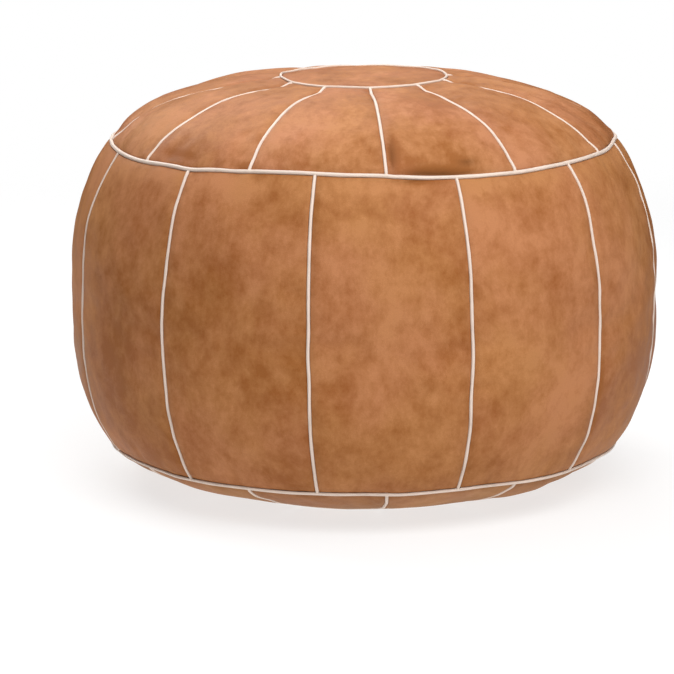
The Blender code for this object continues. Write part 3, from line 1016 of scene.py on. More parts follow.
@dataclass(frozen=True)
class ClothFinish:
    """Woven tape, sewing thread or loose fibre.

    Attributes:
        name: The material's name.
        color: Its colour on top of the threads.
        dark: Its colour between them.
        threads: Threads to the metre.
        depth: Depth of the weave.
    """

    name: str
    color: tuple[float, float, float]
    dark: tuple[float, float, float]
    threads: float
    depth: float

    def build(self, effects: Effects) -> Material:
        """Builds the material from the shared groups."""
        material, graph, shader = new_material(self.name)
        place = graph.on_hide()
        weave = graph.node("Group", {"Place": place, "Threads": self.threads}, node_tree=effects.weave)
        tint = graph.noise(place, 25.0, 3.0)
        share = graph.times(weave.outputs["Thread"], graph.remap(tint, 0.3, 0.7, (0.6, 1.0)))
        color = graph.blend(share, self.dark, self.color)
        rough = graph.remap(tint, 0.3, 0.7, (0.8, 0.95))
        graph.fill(shader, {"Base Color": color, "Roughness": rough, "Sheen Weight": 0.3})
        graph.bump(shader, weave.outputs["Height"], 0.7, self.depth)
        return material


@dataclass(frozen=True)
class MetalFinish:
    """Cast or stamped brass, tarnished in patches and scratched along its length."""

    name: str
    color: tuple[float, float, float]
    tarnish: tuple[float, float, float]
    roughness: float

    def build(self) -> Material:
        """Builds the material."""
        material, graph, shader = new_material(self.name)
        place = graph.node("TexCoord").outputs["Object"]
        patch = graph.noise(place, 420.0, 4.0, 0.6)
        share = graph.remap(patch, 0.45, 0.72, (0.0, 0.8))
        color = graph.blend(share, self.color, self.tarnish)
        scratch = graph.noise(graph.stretched(place, (0.15, 1.0, 1.0)), 5200.0, 2.0)
        rough = graph.remap(scratch, 0.3, 0.7, (self.roughness - 0.06, self.roughness + 0.12))
        graph.fill(shader, {"Base Color": color, "Roughness": rough, "Metallic": 1.0})
        graph.bump(shader, scratch, 0.25, 0.03 * MM)
        return material


@dataclass(frozen=True)
class Finishes:
    """Every material of the pouf."""

    side: Material
    crown: Material
    base: Material
    piping: Material
    tape: Material
    thread: Material
    teeth: Material
    metal: Material
    fibre: Material

    @classmethod
    def make(cls) -> "Finishes":
        """Builds them all."""
        effects = Effects()
        # The crown's hide is a little paler and pinker, painted light where the crown faces the lights; the
        # base's hide is darker and greyer, painted shade and a painted reflection of the pale floor on the
        # under-turn.
        crown = HideFinish("crown_hide", mid=(0.437, 0.176, 0.071), cloud_scale=9.0)
        base = HideFinish("base_hide", mid=(0.38, 0.17, 0.071), roughness=0.6, contrast=3.0)
        tape = ClothFinish("zip_tape_weave", (0.30, 0.165, 0.075), (0.16, 0.08, 0.035), 1700.0, 0.1 * MM)
        thread = ClothFinish("sewing_thread", (0.80, 0.68, 0.54), (0.5, 0.4, 0.3), 2600.0, 0.05 * MM)
        fibre = ClothFinish("stuffing_fibre", (0.82, 0.80, 0.75), (0.62, 0.6, 0.55), 420.0, 0.5 * MM)
        return cls(
            side=HideFinish("side_hide").build(effects),
            crown=crown.build(effects),
            base=base.build(effects),
            piping=PipingFinish().build(effects),
            tape=tape.build(effects),
            thread=thread.build(effects),
            teeth=MetalFinish("zip_teeth_brass", (0.66, 0.45, 0.19), (0.34, 0.22, 0.10), 0.32).build(),
            metal=MetalFinish("zip_slider_brass", (0.70, 0.50, 0.22), (0.38, 0.26, 0.12), 0.26).build(),
            fibre=fibre.build(effects),
        )


# The soft swelling of the leather


def pull_weights(share: Array) -> Array:
    """Returns the four cubic weights for a point part of the way between two grid lines."""
    t = share[..., None]
    rows = (-t + 2 * t**2 - t**3, 2 - 5 * t**2 + 3 * t**3, t + 4 * t**2 - 3 * t**3, -(t**2) + t**3)
    return 0.5 * np.concatenate(rows, axis=-1)


def read_grid(grid: Array, down: Array, across: Array) -> Array:
    """Reads a grid smoothly between its points.

    Args:
        grid: Numbers by row and column.
        down: Places down the grid, from 0 to 1.
        across: Places across the grid, from 0 to 1.

    Returns:
        The number at each place.
    """
    rows, columns = grid.shape
    y, x = np.clip(down, 0.0, 1.0) * (rows - 1), np.clip(across, 0.0, 1.0) * (columns - 1)
    i, j = np.minimum(y.astype(int), rows - 2), np.minimum(x.astype(int), columns - 2)
    padded = np.pad(grid, 1, mode="reflect", reflect_type="odd")
    wy, wx = pull_weights(y - i), pull_weights(x - j)
    total = np.zeros(np.shape(down))
    for a in range(4):
        for b in range(4):
            total = total + wy[..., a] * wx[..., b] * padded[i + a, j + b]
    return total


@dataclass
class PressedLeather:
    """How the packed fibre presses out each gore, from a cloth simulation with sewn-down edges.

    The broad swelling is part of the outline already, so only the puckers and soft folds are kept.

    Attributes:
        cell: Width of the grid's cells.
        pressure: Outward pressure of the fibre.
        frames: Steps of the simulation.
        ease: The most that the leather is cut too large, as a share.
        room: How far inside the outline it starts.
        kept: Share of the puckers that is kept.
        most: The largest pucker kept.
        grids: Height of the puckers over each gore, once pressed.
    """

    cell: float = 8.0 * MM
    pressure: float = 4.0
    frames: int = 20
    ease: float = 0.05
    room: float = 3.0 * MM
    kept: float = 0.55
    most: float = 1.6 * MM
    grids: list[Array] = field(default_factory=list)

    def run(self, sheets: Sequence[tuple[Array, Array]]) -> None:
        """Simulates all the gores together.

        Args:
            sheets: Each gore's grid of points and of outward normals.
        """
        obj, eased = self._lay_out(sheets)
        self._press(obj, eased)
        spent = bpy.context.evaluated_depsgraph_get()
        after = np.empty(len(obj.data.vertices) * 3, dtype=np.float32)
        obj.evaluated_get(spent).data.vertices.foreach_get("co", after)
        after = after.reshape(-1, 3)
        bpy.data.objects.remove(obj)
        bpy.context.scene.frame_set(1)
        start = 0
        for points, normals in sheets:
            count = points.shape[0] * points.shape[1]
            moved = after[start : start + count].reshape(points.shape) - (points - normals * self.room)
            start += count
            self.grids.append(self._keep(np.sum(moved * normals, axis=-1)))
        log.info("pressed %d gores, %d points", len(sheets), start)

    def _lay_out(self, sheets: Sequence[tuple[Array, Array]]) -> tuple[Object, Array]:
        """Makes one mesh of all the gores, with its edges held and its ease given by gore."""
        verts, faces, held, eased = [], [], [], []
        start = 0
        for number, (points, normals) in enumerate(sheets):
            rows, columns = points.shape[:2]
            verts.append((points - normals * self.room).reshape(-1, 3))
            i, j = np.meshgrid(np.arange(rows - 1), np.arange(columns - 1), indexing="ij")
            first = start + i * columns + j
            quads = np.stack([first, first + columns, first + columns + 1, first + 1], axis=-1)
            faces.append(quads.reshape(-1, 4))
            edge = np.zeros((rows, columns), dtype=bool)
            edge[[0, -1], :] = True
            edge[:, [0, -1]] = True
            held.append(edge.ravel())
            spots = Lumps(Seed.GORE_EASE + number, 0.5, 0.05)(points)
            eased.append(np.clip(0.5 + spots, 0.0, 1.0).ravel())
            start += rows * columns
        mesh = bpy.data.meshes.new("leather_bench")
        mesh.from_pydata(np.vstack(verts).tolist(), [], np.vstack(faces).tolist())
        obj = link(bpy.data.objects.new("leather_bench", mesh))
        pins = obj.vertex_groups.new(name="sewn")
        pins.add(np.flatnonzero(np.concatenate(held)).tolist(), 1.0, "REPLACE")
        return obj, np.concatenate(eased)

    def _press(self, obj: Object, eased: Array) -> None:
        """Adds the cloth and steps it to its last frame."""
        loose = obj.vertex_groups.new(name="ease")
        steps = np.round(eased, 1)
        for step in np.unique(steps):
            loose.add(np.flatnonzero(steps == step).tolist(), float(step), "REPLACE")
        cloth = obj.modifiers.new("leather", "CLOTH")
        settings = cloth.settings
        settings.quality = 6
        settings.mass = 0.4
        settings.tension_stiffness = 30.0
        settings.compression_stiffness = 30.0
        settings.shear_stiffness = 12.0
        settings.bending_stiffness = 6.0
        settings.air_damping = 4.0
        settings.vertex_group_mass = "sewn"
        settings.vertex_group_shrink = "ease"
        settings.shrink_min = -0.25 * self.ease
        settings.shrink_max = -self.ease
        settings.use_pressure = True
        settings.uniform_pressure_force = self.pressure
        settings.effector_weights.gravity = 0.0
        cloth.collision_settings.use_collision = False
        cloth.point_cache.frame_end = self.frames
        for step in range(1, self.frames + 1):
            bpy.context.scene.frame_set(step)

    def _keep(self, rise: Array) -> Array:
        """Takes the broad swelling off one gore's rise, and caps what is left."""
        rows, columns = rise.shape
        down = np.linspace(0.0, pi, rows)
        across = np.linspace(0.0, pi, columns)
        waves = [
            np.outer(np.sin(a * down), np.sin(b * across)).ravel() for a in (1, 2, 3, 5) for b in (1, 2, 3)
        ]
        basis = np.stack(waves, axis=1)
        shares, *_ = np.linalg.lstsq(basis, rise.ravel(), rcond=None)
        fine = self.kept * (rise.ravel() - basis @ shares).reshape(rise.shape)
        return self.most * np.tanh(fine / self.most)


# The cover


@dataclass
class Cover:
    """The sewn leather cover: gores, piping, crown disc and the two halves of the base."""

    profile: Profile
    finishes: Finishes
    leather: float = 1.2 * MM
    side_cord_r: float = 1.75 * MM
    crown_cord_r: float = 1.65 * MM
    shoulder_cord_r: float = 2.1 * MM
    low_cord_r: float = 1.65 * MM
    disc_cord_r: float = 1.4 * MM
    base_cord_r: float = 2.0 * MM
    cord_sides: int = 16
    cord_step: float = 2.5 * MM
    crown_puff: Puff = Puff(
        wide=2.6 * MM, roll=1.3 * MM, share_of_width=0.11, near_ring=0.15, ring_reach=20.0 * MM, deeper=0.4
    )
    side_puff: Puff = Puff(wide=1.3 * MM, roll=1.2 * MM, share_of_width=0.03)
    skirt_puff: Puff = Puff(wide=1.1 * MM, roll=1.0 * MM, share_of_width=0.03)
    top_slips: tuple[Slip, ...] = each(
        Slip,
        (-63.0, 3.2, 14.0), (-45.0, 2.2, 4.5), (-22.0, -2.8, 15.0), (-2.0, -1.1, 6.0), (10.0, 1.4, 9.0),
        (28.0, 1.9, 13.0), (58.0, -1.0, 12.0), (77.0, -4.4, 10.0), (105.0, 1.6, 8.0),
        (118.0, -2.0, 11.0), (135.0, 1.9, 5.0), (158.0, -2.4, 14.0), (-172.0, 2.2, 10.0),
        (-150.0, -1.8, 12.0), (-125.0, 2.4, 9.0), (-104.0, -1.6, 10.0),
    )
    low_slips: tuple[Slip, ...] = each(
        Slip,
        (-20.0, 0.5, 12.0), (16.0, -0.5, 8.0), (70.0, 0.8, 14.0), (110.0, -0.9, 10.0),
        (165.0, 1.0, 16.0), (-140.0, -1.0, 12.0), (-95.0, 0.8, 10.0),
    )
    disc_slips: tuple[Slip, ...] = each(
        Slip,
        (25.0, -0.6, 30.0), (120.0, 0.7, 28.0), (-100.0, 0.5, 25.0), (-30.0, 0.4, 20.0),
    )
    side_seams: dict[int, SeamLine] = field(
        default_factory=lambda: {
            6: SeamLine(-4.0, -4.0, (Slip(0.55, -2.5, 0.12),)),
            7: SeamLine(-2.8, 0.3, (Slip(0.3, 0.8, 0.08), Slip(0.52, -1.8, 0.12))),
            8: SeamLine(-1.5, 1.2, (Slip(0.54, -1.0, 0.05),)),
            9: SeamLine(-0.1, 3.0, (Slip(0.53, 1.2, 0.07), Slip(0.68, -1.4, 0.05))),
            10: SeamLine(
                1.2,
                6.0,
                each(Slip, (0.11, 1.4, 0.06), (0.25, -2.0, 0.09), (0.54, 2.0, 0.12), (0.77, -1.6, 0.08)),
            ),
        }
    )
    crown_seams: dict[int, SeamLine] = field(
        default_factory=lambda: {
            7: SeamLine(-5.5, -1.0, (Slip(0.75, 4.0, 0.18),)),
            8: SeamLine(-3.5, -2.0, (Slip(0.2, 1.8, 0.14), Slip(0.5, -0.9, 0.14))),
            9: SeamLine(-1.2, -1.2),
            10: SeamLine(4.5, -1.8, (Slip(0.15, 3.0, 0.2), Slip(0.75, -1.2, 0.15))),
            11: SeamLine(8.0, -0.8, (Slip(0.45, 4.5, 0.16), Slip(0.75, -1.2, 0.12))),
        }
    )
    dents: tuple[Dent, ...] = each(
        Dent,
        # Folds above and below the shoulder ring, just right of the front seam.
        (12.0, -4.0, 40.0, 4.5, 5.0), (10.0, -11.0, 30.0, 6.0, -1.6, -1.0),
        (1.9, -32.0, 5.0, 28.0, 3.0, 3.0), (18.0, -17.0, 13.0, 5.0, 2.0, -4.0),
        (6.0, 7.0, 20.0, 4.5, 1.6),
        # Folds and hollows on the front half of the crown.
        (-47.0, -150.0, 30.0, 45.0, 2.6), (34.0, -60.0, 12.0, 40.0, 1.6, -14.0),
        (-50.0, -10.0, 26.0, 5.0, 1.8, 2.0), (-33.0, -8.0, 14.0, 5.0, 1.1),
        (-16.0, -9.0, 24.0, 6.0, 0.9),
        # Folds and hollows round the crown's back half.
        (120.0, -12.0, 30.0, 8.0, 1.8, -4.0), (140.0, -8.0, 20.0, 6.0, 1.2),
        (205.0, -30.0, 9.0, 28.0, 1.6, 10.0), (262.0, -10.0, 28.0, 7.0, 1.6),
        (-148.0, -115.0, 55.0, 50.0, 2.3), (-112.0, -50.0, 45.0, 42.0, 2.4),
        (105.0, -50.0, 40.0, 40.0, 1.4),
        # Slack and fullness at the sides.
        (-95.0, 270.0, 90.0, 60.0, 2.0), (85.0, 180.0, 80.0, 70.0, -1.4),
    )
    # Painted shade in the folds, added to the painted shade beside the seams.
    creases: tuple[Crease, ...] = each(
        Crease,
        # In the folds right of the front seam.
        (12.5, -3.2, 38.0, 2.0, 3.2), (6.5, -4.5, 14.0, 3.0, 1.2), (18.5, -15.0, 10.0, 4.0, 2.4, -2.0),
        (1.5, -28.0, 3.2, 26.0, 2.4, 2.0), (5.5, 4.5, 13.0, 2.2, 1.6),
        # In the smaller folds round the shoulder ring.
        (-52.0, -6.0, 20.0, 3.0, 1.2, 3.0), (-31.5, -5.0, 9.0, 2.4, 1.0),
        (122.0, -5.0, 24.0, 3.0, 1.6, -2.0), (-98.0, -5.0, 20.0, 3.0, 1.4),
    )
    tone_spots: tuple[ToneSpot, ...] = each(
        ToneSpot,
        # Painted light: a paler strip below the shoulder ring, all the way round, where the panels' top
        # edges catch the light.
        (0.0, 11.0, 9000.0, 13.0, 0.38),
        # Painted shade in the folds.
        (12.0, -6.0, 36.0, 5.0, -0.9), (2.2, -32.0, 5.0, 28.0, -0.8, 2.0),
        (18.0, -16.0, 13.0, 5.0, -0.5, -2.0), (-52.0, -12.0, 26.0, 7.0, -0.8),
        (-31.0, -9.0, 12.0, 6.0, -0.8), (7.0, 6.0, 18.0, 4.0, -0.9),
        # The crown.
        (12.0, -120.0, 30.0, 40.0, -0.45), (20.0, -90.0, 24.0, 30.0, -0.2),
        (30.0, -50.0, 18.0, 38.0, 0.4), (68.0, -80.0, 60.0, 70.0, 0.4),
        (-58.0, -120.0, 60.0, 50.0, 0.25), (-30.0, -110.0, 30.0, 40.0, 0.2),
        (-78.0, -30.0, 40.0, 40.0, 0.5), (-56.0, -45.0, 24.0, 20.0, 0.3),
        (0.0, -110.0, 12.0, 40.0, 0.25),
        # The front panel.
        (0.0, 190.0, 26.0, 75.0, 0.42), (-10.0, 212.0, 17.0, 26.0, -0.6),
        (-10.0, 265.0, 22.0, 30.0, -0.3), (10.0, 30.0, 40.0, 24.0, 0.35),
        # The panels left of it.
        (-20.0, 190.0, 15.0, 60.0, 0.35), (-31.0, 150.0, 14.0, 40.0, -0.3),
        (-40.0, 50.0, 12.0, 24.0, -0.3), (-36.0, 140.0, 34.0, 40.0, -0.4),
        (-30.0, 40.0, 26.0, 40.0, 0.4), (-68.0, 85.0, 30.0, 50.0, 0.4), (-80.0, 30.0, 45.0, 70.0, 0.5),
        (-38.0, 290.0, 60.0, 35.0, -0.35), (-30.0, 18.0, 26.0, 14.0, 0.35),
        (-52.0, 70.0, 14.0, 30.0, 0.35),
        # The panels right of it.
        (18.0, 80.0, 40.0, 60.0, 0.28), (40.0, 110.0, 25.0, 60.0, 0.34),
        (32.0, 225.0, 32.0, 34.0, -0.3), (50.0, 215.0, 15.0, 25.0, 0.3),
        (20.0, 315.0, 80.0, 20.0, -0.2), (72.0, 140.0, 55.0, 130.0, -0.5),
        (64.0, 90.0, 20.0, 45.0, -0.2), (72.0, 250.0, 60.0, 60.0, -0.2), (46.0, 25.0, 22.0, 20.0, 0.3),
        # The back.
        (150.0, 120.0, 60.0, 80.0, -0.3), (200.0, 200.0, 50.0, 60.0, 0.3),
        (110.0, 220.0, 50.0, 70.0, 0.3), (240.0, 90.0, 40.0, 60.0, -0.3),
    )
    pressed: PressedLeather = field(default_factory=PressedLeather)
    bands: dict[Family, Band] = field(init=False)

    def __post_init__(self) -> None:
        """Lays out the rings and seams."""
        profile = self.profile
        disc = RingLine(profile.disc_arc - 3.4 * MM, self.disc_cord_r, 1.5 * MM, 0.9 * MM, self.disc_slips)
        top = RingLine(profile.top_arc, self.shoulder_cord_r, 2.4 * MM, 0.7 * MM, self.top_slips)
        low_arc = profile.low_arc + 0.9 * MM
        low = RingLine(low_arc, self.low_cord_r, 1.8 * MM, 1.0 * MM, self.low_slips)
        base = RingLine(profile.base_arc, self.base_cord_r, 0.0)

        def seams(offset: float, seed: int, chosen: dict[int, SeamLine]) -> tuple[SeamLine, ...]:
            rows = []
            for index in range(GORES):
                made = chosen.get(index) or wandering_seam(seed + index)
                rows.append(replace(made, angle=offset + index * GORE_ANGLE, seed=seed + index))
            return tuple(rows)

        crown_seams = seams(0.0, Seed.CROWN_SEAMS, self.crown_seams)
        side_seams = seams(GORE_ANGLE / 2.0, Seed.SIDE_SEAMS, self.side_seams)
        skirt_seams = seams(0.0, Seed.SKIRT_SEAMS, {})
        crown_r, side_r = self.crown_cord_r, self.side_cord_r
        self.bands = {
            Family.CROWN: Band(disc, top, crown_seams, crown_r, self.crown_puff, 46, 30),
            Family.SIDE: Band(top, low, side_seams, side_r, self.side_puff, 78, 36),
            Family.SKIRT: Band(low, base, skirt_seams, crown_r, self.skirt_puff, 34, 30),
        }

    # Where things lie.

    def _edge_steps(self, cord_r: float) -> Array:
        """Returns the distances from a seam at which the leather has its close lines of vertices."""
        beside = np.array([1.03, 1.03, 1.05, 1.12, 1.25, 1.45, 1.9]) * cord_r
        return np.concatenate([beside, np.array([5.5, 7.5, 10.0]) * MM])

    def _spread(self, count: int, start: Array, end: Array, length: Array) -> Array:
        """Places lines between two edges: close ones beside each edge, even ones between.

        Args:
            count: Number of even lines.
            start: Distances of the close lines from the first edge.
            end: Distances of the close lines from the second edge.
            length: Distance between the edges, one number or one for each row.

        Returns:
            Distances from the first edge, with the lines on the last axis.
        """
        length = np.atleast_1d(length)[:, None]
        scale_start = np.minimum(1.0, 0.3 * length / start[-1])
        scale_end = np.minimum(1.0, 0.3 * length / end[-1])
        share = np.linspace(0.0, 1.0, count + 2)[None, 1:-1]
        first = np.where(start[None] < 1.6 * start[0], start[None], start[None] * scale_start)
        last = np.where(end[None] < 1.6 * end[0], end[None], end[None] * scale_end)
        inner = first[:, -1:] + share * (length - first[:, -1:] - last[:, -1:])
        return np.concatenate([first, inner, length - last[:, ::-1]], axis=1)

    def gore(self, band: Band, index: int) -> Gore:
        """Lays one gore's lattice between its seams and rings."""
        columns = self._edge_steps(band.seam_cord_r)
        upper, lower = self._edge_steps(band.upper.cord_r), self._edge_steps(band.lower.cord_r)
        left = band.seams[0].angle + index * GORE_ANGLE
        middle_r = self.profile.radius(np.array((band.upper.arc + band.lower.arc) / 2.0))
        even = self._spread(band.columns, columns, columns, middle_r * GORE_ANGLE)[0]
        nominal = left + even / middle_r
        top, low = band.upper.arc_at(nominal), band.lower.arc_at(nominal)
        height = low - top
        along = self._spread(band.rows, upper, lower, height).T
        arc = top[None] + along
        radius = self.profile.radius(arc)
        first, second = band.sides(arc, index, radius)
        width = radius * (second - first)
        across = np.stack(
            [self._spread(band.columns, columns, columns, width[:, j])[:, j] for j in range(arc.shape[1])],
            axis=1,
        )
        angle = first + across / radius
        return Gore(angle, arc, across, width, along, np.broadcast_to(height[None], arc.shape))

    def inset(self, band: Band, gore: Gore, tucked: bool = True) -> Array:
        """Returns how far each of a gore's points lies inside the outline."""
        puff = band.puff
        away = np.minimum(gore.across, gore.width - gore.across)
        below = gore.height - gore.along
        along = np.maximum(gore.along, 0.0)
        broad, short = puff.across(np.maximum(away, 0.0), gore.width, along, np.maximum(below, 0.0))
        upper = puff.down(along, band.upper.inset)
        lower = puff.down(np.maximum(below, 0.0), band.lower.inset)
        total = broad + upper[0] + lower[0]
        total = total + np.maximum(short, np.maximum(upper[1], lower[1]))
        if tucked:
            turned = puff.turned(away, band.seam_cord_r)
            turned = np.maximum(turned, puff.turned(gore.along, band.upper.cord_r))
            turned = np.maximum(turned, puff.turned(below, band.lower.cord_r))
            total = total + turned
        return total

    def unevenness(self, angle: Array, arc: Array) -> Array:
        """Returns the stuffing's lumps and the dents, as a height along the normal."""
        at = self.profile.surface(angle, arc, np.zeros(np.shape(arc)))
        total = Lumps(Seed.BROAD_LUMPS, 0.8 * MM, 0.12)(at)
        total = total + Lumps(Seed.FINE_LUMPS, 0.22 * MM, 0.038)(at)
        total = total * np.clip(at[..., 2] / (20.0 * MM), 0.0, 1.0)
        for dent in self.dents:
            total = total - dent.at(angle, arc, self.profile)
        return total

    def press(self) -> None:
        """Lays each gore out as an even grid and presses them all out together."""
        sheets = []
        for band in self.bands.values():
            rows = int((band.lower.arc - band.upper.arc) / self.pressed.cell) + 2
            middle_r = self.profile.radius(np.array((band.upper.arc + band.lower.arc) / 2.0))
            columns = int(middle_r * GORE_ANGLE / self.pressed.cell) + 2
            for index in range(GORES):
                arc = np.linspace(band.upper.arc, band.lower.arc, rows)[:, None].repeat(columns, 1)
                first, second = band.sides(arc, index, self.profile.radius(arc))
                angle = first + (second - first) * np.linspace(0.0, 1.0, columns)[None]
                points = self.profile.surface(angle, arc, np.zeros(arc.shape))
                sheets.append((points, self.profile.normal(angle, arc)))
        self.pressed.run(sheets)

    def masks(self, angle: Array, arc: Array, from_seam: Array) -> dict[str, Array]:
        """Returns each point's painted shade, beside the seams and in the creases, and its tone patch,
        which holds painted light and shade as well.
        """
        patch = sum(tone_spot.at(angle, arc, self.profile) for tone_spot in self.tone_spots)
        folded = sum(crease.at(angle, arc, self.profile) for crease in self.creases)
        return {SHADE_ATTRIBUTE: np.exp(-from_seam / SHADE_REACH) + folded, PATCH_ATTRIBUTE: patch}

    # Pieces.

    def build_gores(self, family: Family, material: Material) -> None:
        """Builds one ring of gores."""
        band = self.bands[family]
        for index in range(GORES):
            gore = self.gore(band, index)
            lift = self.unevenness(gore.angle, gore.arc) - self.inset(band, gore)
            grid = self.pressed.grids[list(Family).index(family) * GORES + index]
            lift = lift + read_grid(grid, gore.along / gore.height, gore.across / gore.width)
            deep = np.zeros(lift.shape, dtype=bool)
            deep[[0, -1], :] = True
            deep[:, [0, -1]] = True
            lift = np.where(deep, lift - band.puff.tuck, lift)
            points = self.profile.surface(gore.angle, gore.arc, lift)
            spot = np.array([0.83 * (index + 1), 1.37 * (index % 5) + list(Family).index(family) * 9.0])
            uv = np.stack([gore.across - gore.width / 2.0, -gore.along], axis=-1) + spot
            nearest = np.minimum(gore.across, gore.width - gore.across)
            nearest = np.minimum(nearest, np.minimum(gore.along, gore.height - gore.along))
            masks = self.masks(gore.angle, gore.arc, nearest)
            name = f"{family.value}_leather_{index + 1:02d}"
            piece = lattice(name, points, uv, masks)
            thicken(piece, self.leather)
            node = f"{family.value}_{index + 1:02d}"
            finish_piece(piece, COVER_BODY, [node], material)

    def cord_path(self, band: Band, index: int) -> tuple[Array, Array, Array]:
        """Returns a seam's middle line, its normals and its arc lengths."""
        seam = band.seams[index]
        angle = np.array(seam.angle)
        top, low = float(band.upper.arc_at(angle)), float(band.lower.arc_at(angle))
        count = int((low - top) / self.cord_step)
        arc = np.linspace(top, low, count)
        radius = self.profile.radius(arc)
        angles = seam.angle + seam.shift(arc, band.upper.arc, band.lower.arc) / radius
        width = radius * GORE_ANGLE
        flat = Gore(angles, arc, np.zeros(count), width, arc - top, np.full(count, low - top))
        lift = self.unevenness(angles, arc) - self.inset(band, flat, tucked=False)
        return self.profile.surface(angles, arc, lift), self.profile.normal(angles, arc), arc

    def build_seam_piping(self, family: Family, word: str, node: str) -> None:
        """Builds the strips of piping down one ring of gores."""
        band = self.bands[family]
        for index in range(GORES):
            path, normals, arc = self.cord_path(band, index)
            radii = band.seam_cord_r * (1.0 + Waves(Seed.CORD_THICKNESS + index, 0.06, 0.05)(arc))
            name = f"{word}_seam_piping_{index + 1:02d}"
            piece = sweep(name, path, normals, radii, self.cord_sides, closed=False)
            finish_piece(piece, COVER_BODY, [node], self.finishes.piping)

    def build_ring_piping(self, name: str, above: Band | None, below: Band | None, node: str) -> None:
        """Builds one ring of piping between the bands above and below it."""
        ring = above.lower if above else below.upper
        count = int(tau * self.profile.radius(np.array(ring.arc)) / self.cord_step)
        angle = np.linspace(0.0, tau, count, endpoint=False)
        arc = ring.arc_at(angle)
        insets = []
        for band in (above, below):
            if band is None:
                continue
            radius = self.profile.radius(arc)
            width = radius * GORE_ANGLE
            across = ((angle - band.seams[0].angle) % GORE_ANGLE) * radius
            span = np.full(count, band.lower.arc - band.upper.arc)
            along = span if band.lower is ring else np.zeros(count)
            flat = Gore(angle, arc, across, width, along, span)
            insets.append(self.inset(band, flat, tucked=False))
        inset = np.mean(insets, axis=0)
        lift = self.unevenness(angle, arc) - inset + ring.proud
        path = self.profile.surface(angle, arc, lift)
        radii = ring.cord_r * (1.0 + 0.05 * np.sin(angle * 31.0) * np.sin(angle * 7.0 + 1.0))
        piece = sweep(name, path, self.profile.normal(angle, arc), radii, self.cord_sides, closed=True)
        finish_piece(piece, COVER_BODY, [node], self.finishes.piping)

    def build_disc(self) -> None:
        """Builds the round piece of leather on the crown."""
        ring = self.bands[Family.CROWN].upper
        count = 144
        angle = np.linspace(0.0, tau, count, endpoint=False)
        edge = ring.arc_at(angle)
        steps = self._edge_steps(ring.cord_r)
        inner = np.linspace(1.0 * MM, edge.min() - steps[-1] - 3.0 * MM, 22)
        rows = [np.full(count, arc) for arc in inner] + [edge - step for step in steps[::-1]]
        arc = np.stack(rows)
        angles = np.broadcast_to(angle[None], arc.shape)
        away = edge[None] - arc
        puff = self.crown_puff
        broad, short = puff.down(away, ring.inset)
        lift = self.unevenness(angles, arc) - broad - short - puff.turned(away, ring.cord_r)
        lift[-1] -= puff.tuck
        points = self.profile.surface(angles, arc, lift)
        uv = points[..., :2] + np.array([-2.0, -2.0])
        masks = self.masks(angles, arc, away)
        piece = lattice("crown_disc_leather", points, uv, masks, closed_across=True)
        close_middle(piece)
        thicken(piece, self.leather)
        finish_piece(piece, COVER_BODY, ["top_disc"], self.finishes.crown)

    def build(self) -> None:
        """Builds every piece of the cover."""
        self.press()
        hides = (self.finishes.crown, self.finishes.side, self.finishes.base)
        for family, word, hide in zip(Family, ("top", "side", "base"), hides):
            self.build_gores(family, hide)
        self.build_disc()
        for family, word in zip(Family, ("crown", "side", "base")):
            self.build_seam_piping(family, word, f"{word}_piping")
        crown, side, skirt = (self.bands[family] for family in Family)
        self.build_ring_piping("crown_disc_piping", None, crown, "crown_piping")
        self.build_ring_piping("top_shoulder_ring_piping", crown, side, "top_shoulder_piping")
        self.build_ring_piping("low_shoulder_ring_piping", side, skirt, "side_piping")
        self.build_ring_piping("base_ring_piping", skirt, None, "base_piping")


def close_middle(obj: Object) -> None:
    """Fills the small hole in the middle of a disc, leaving its outer edge open."""
    hole_r = 5.0 * MM
    with edited(obj.data) as bm:
        rim = [edge for edge in bm.edges if edge.is_boundary]
        inner = [edge for edge in rim if edge.verts[0].co.xy.length < hole_r]
        for face in bmesh.ops.contextual_create(bm, geom=inner)["faces"]:
            face.smooth = True


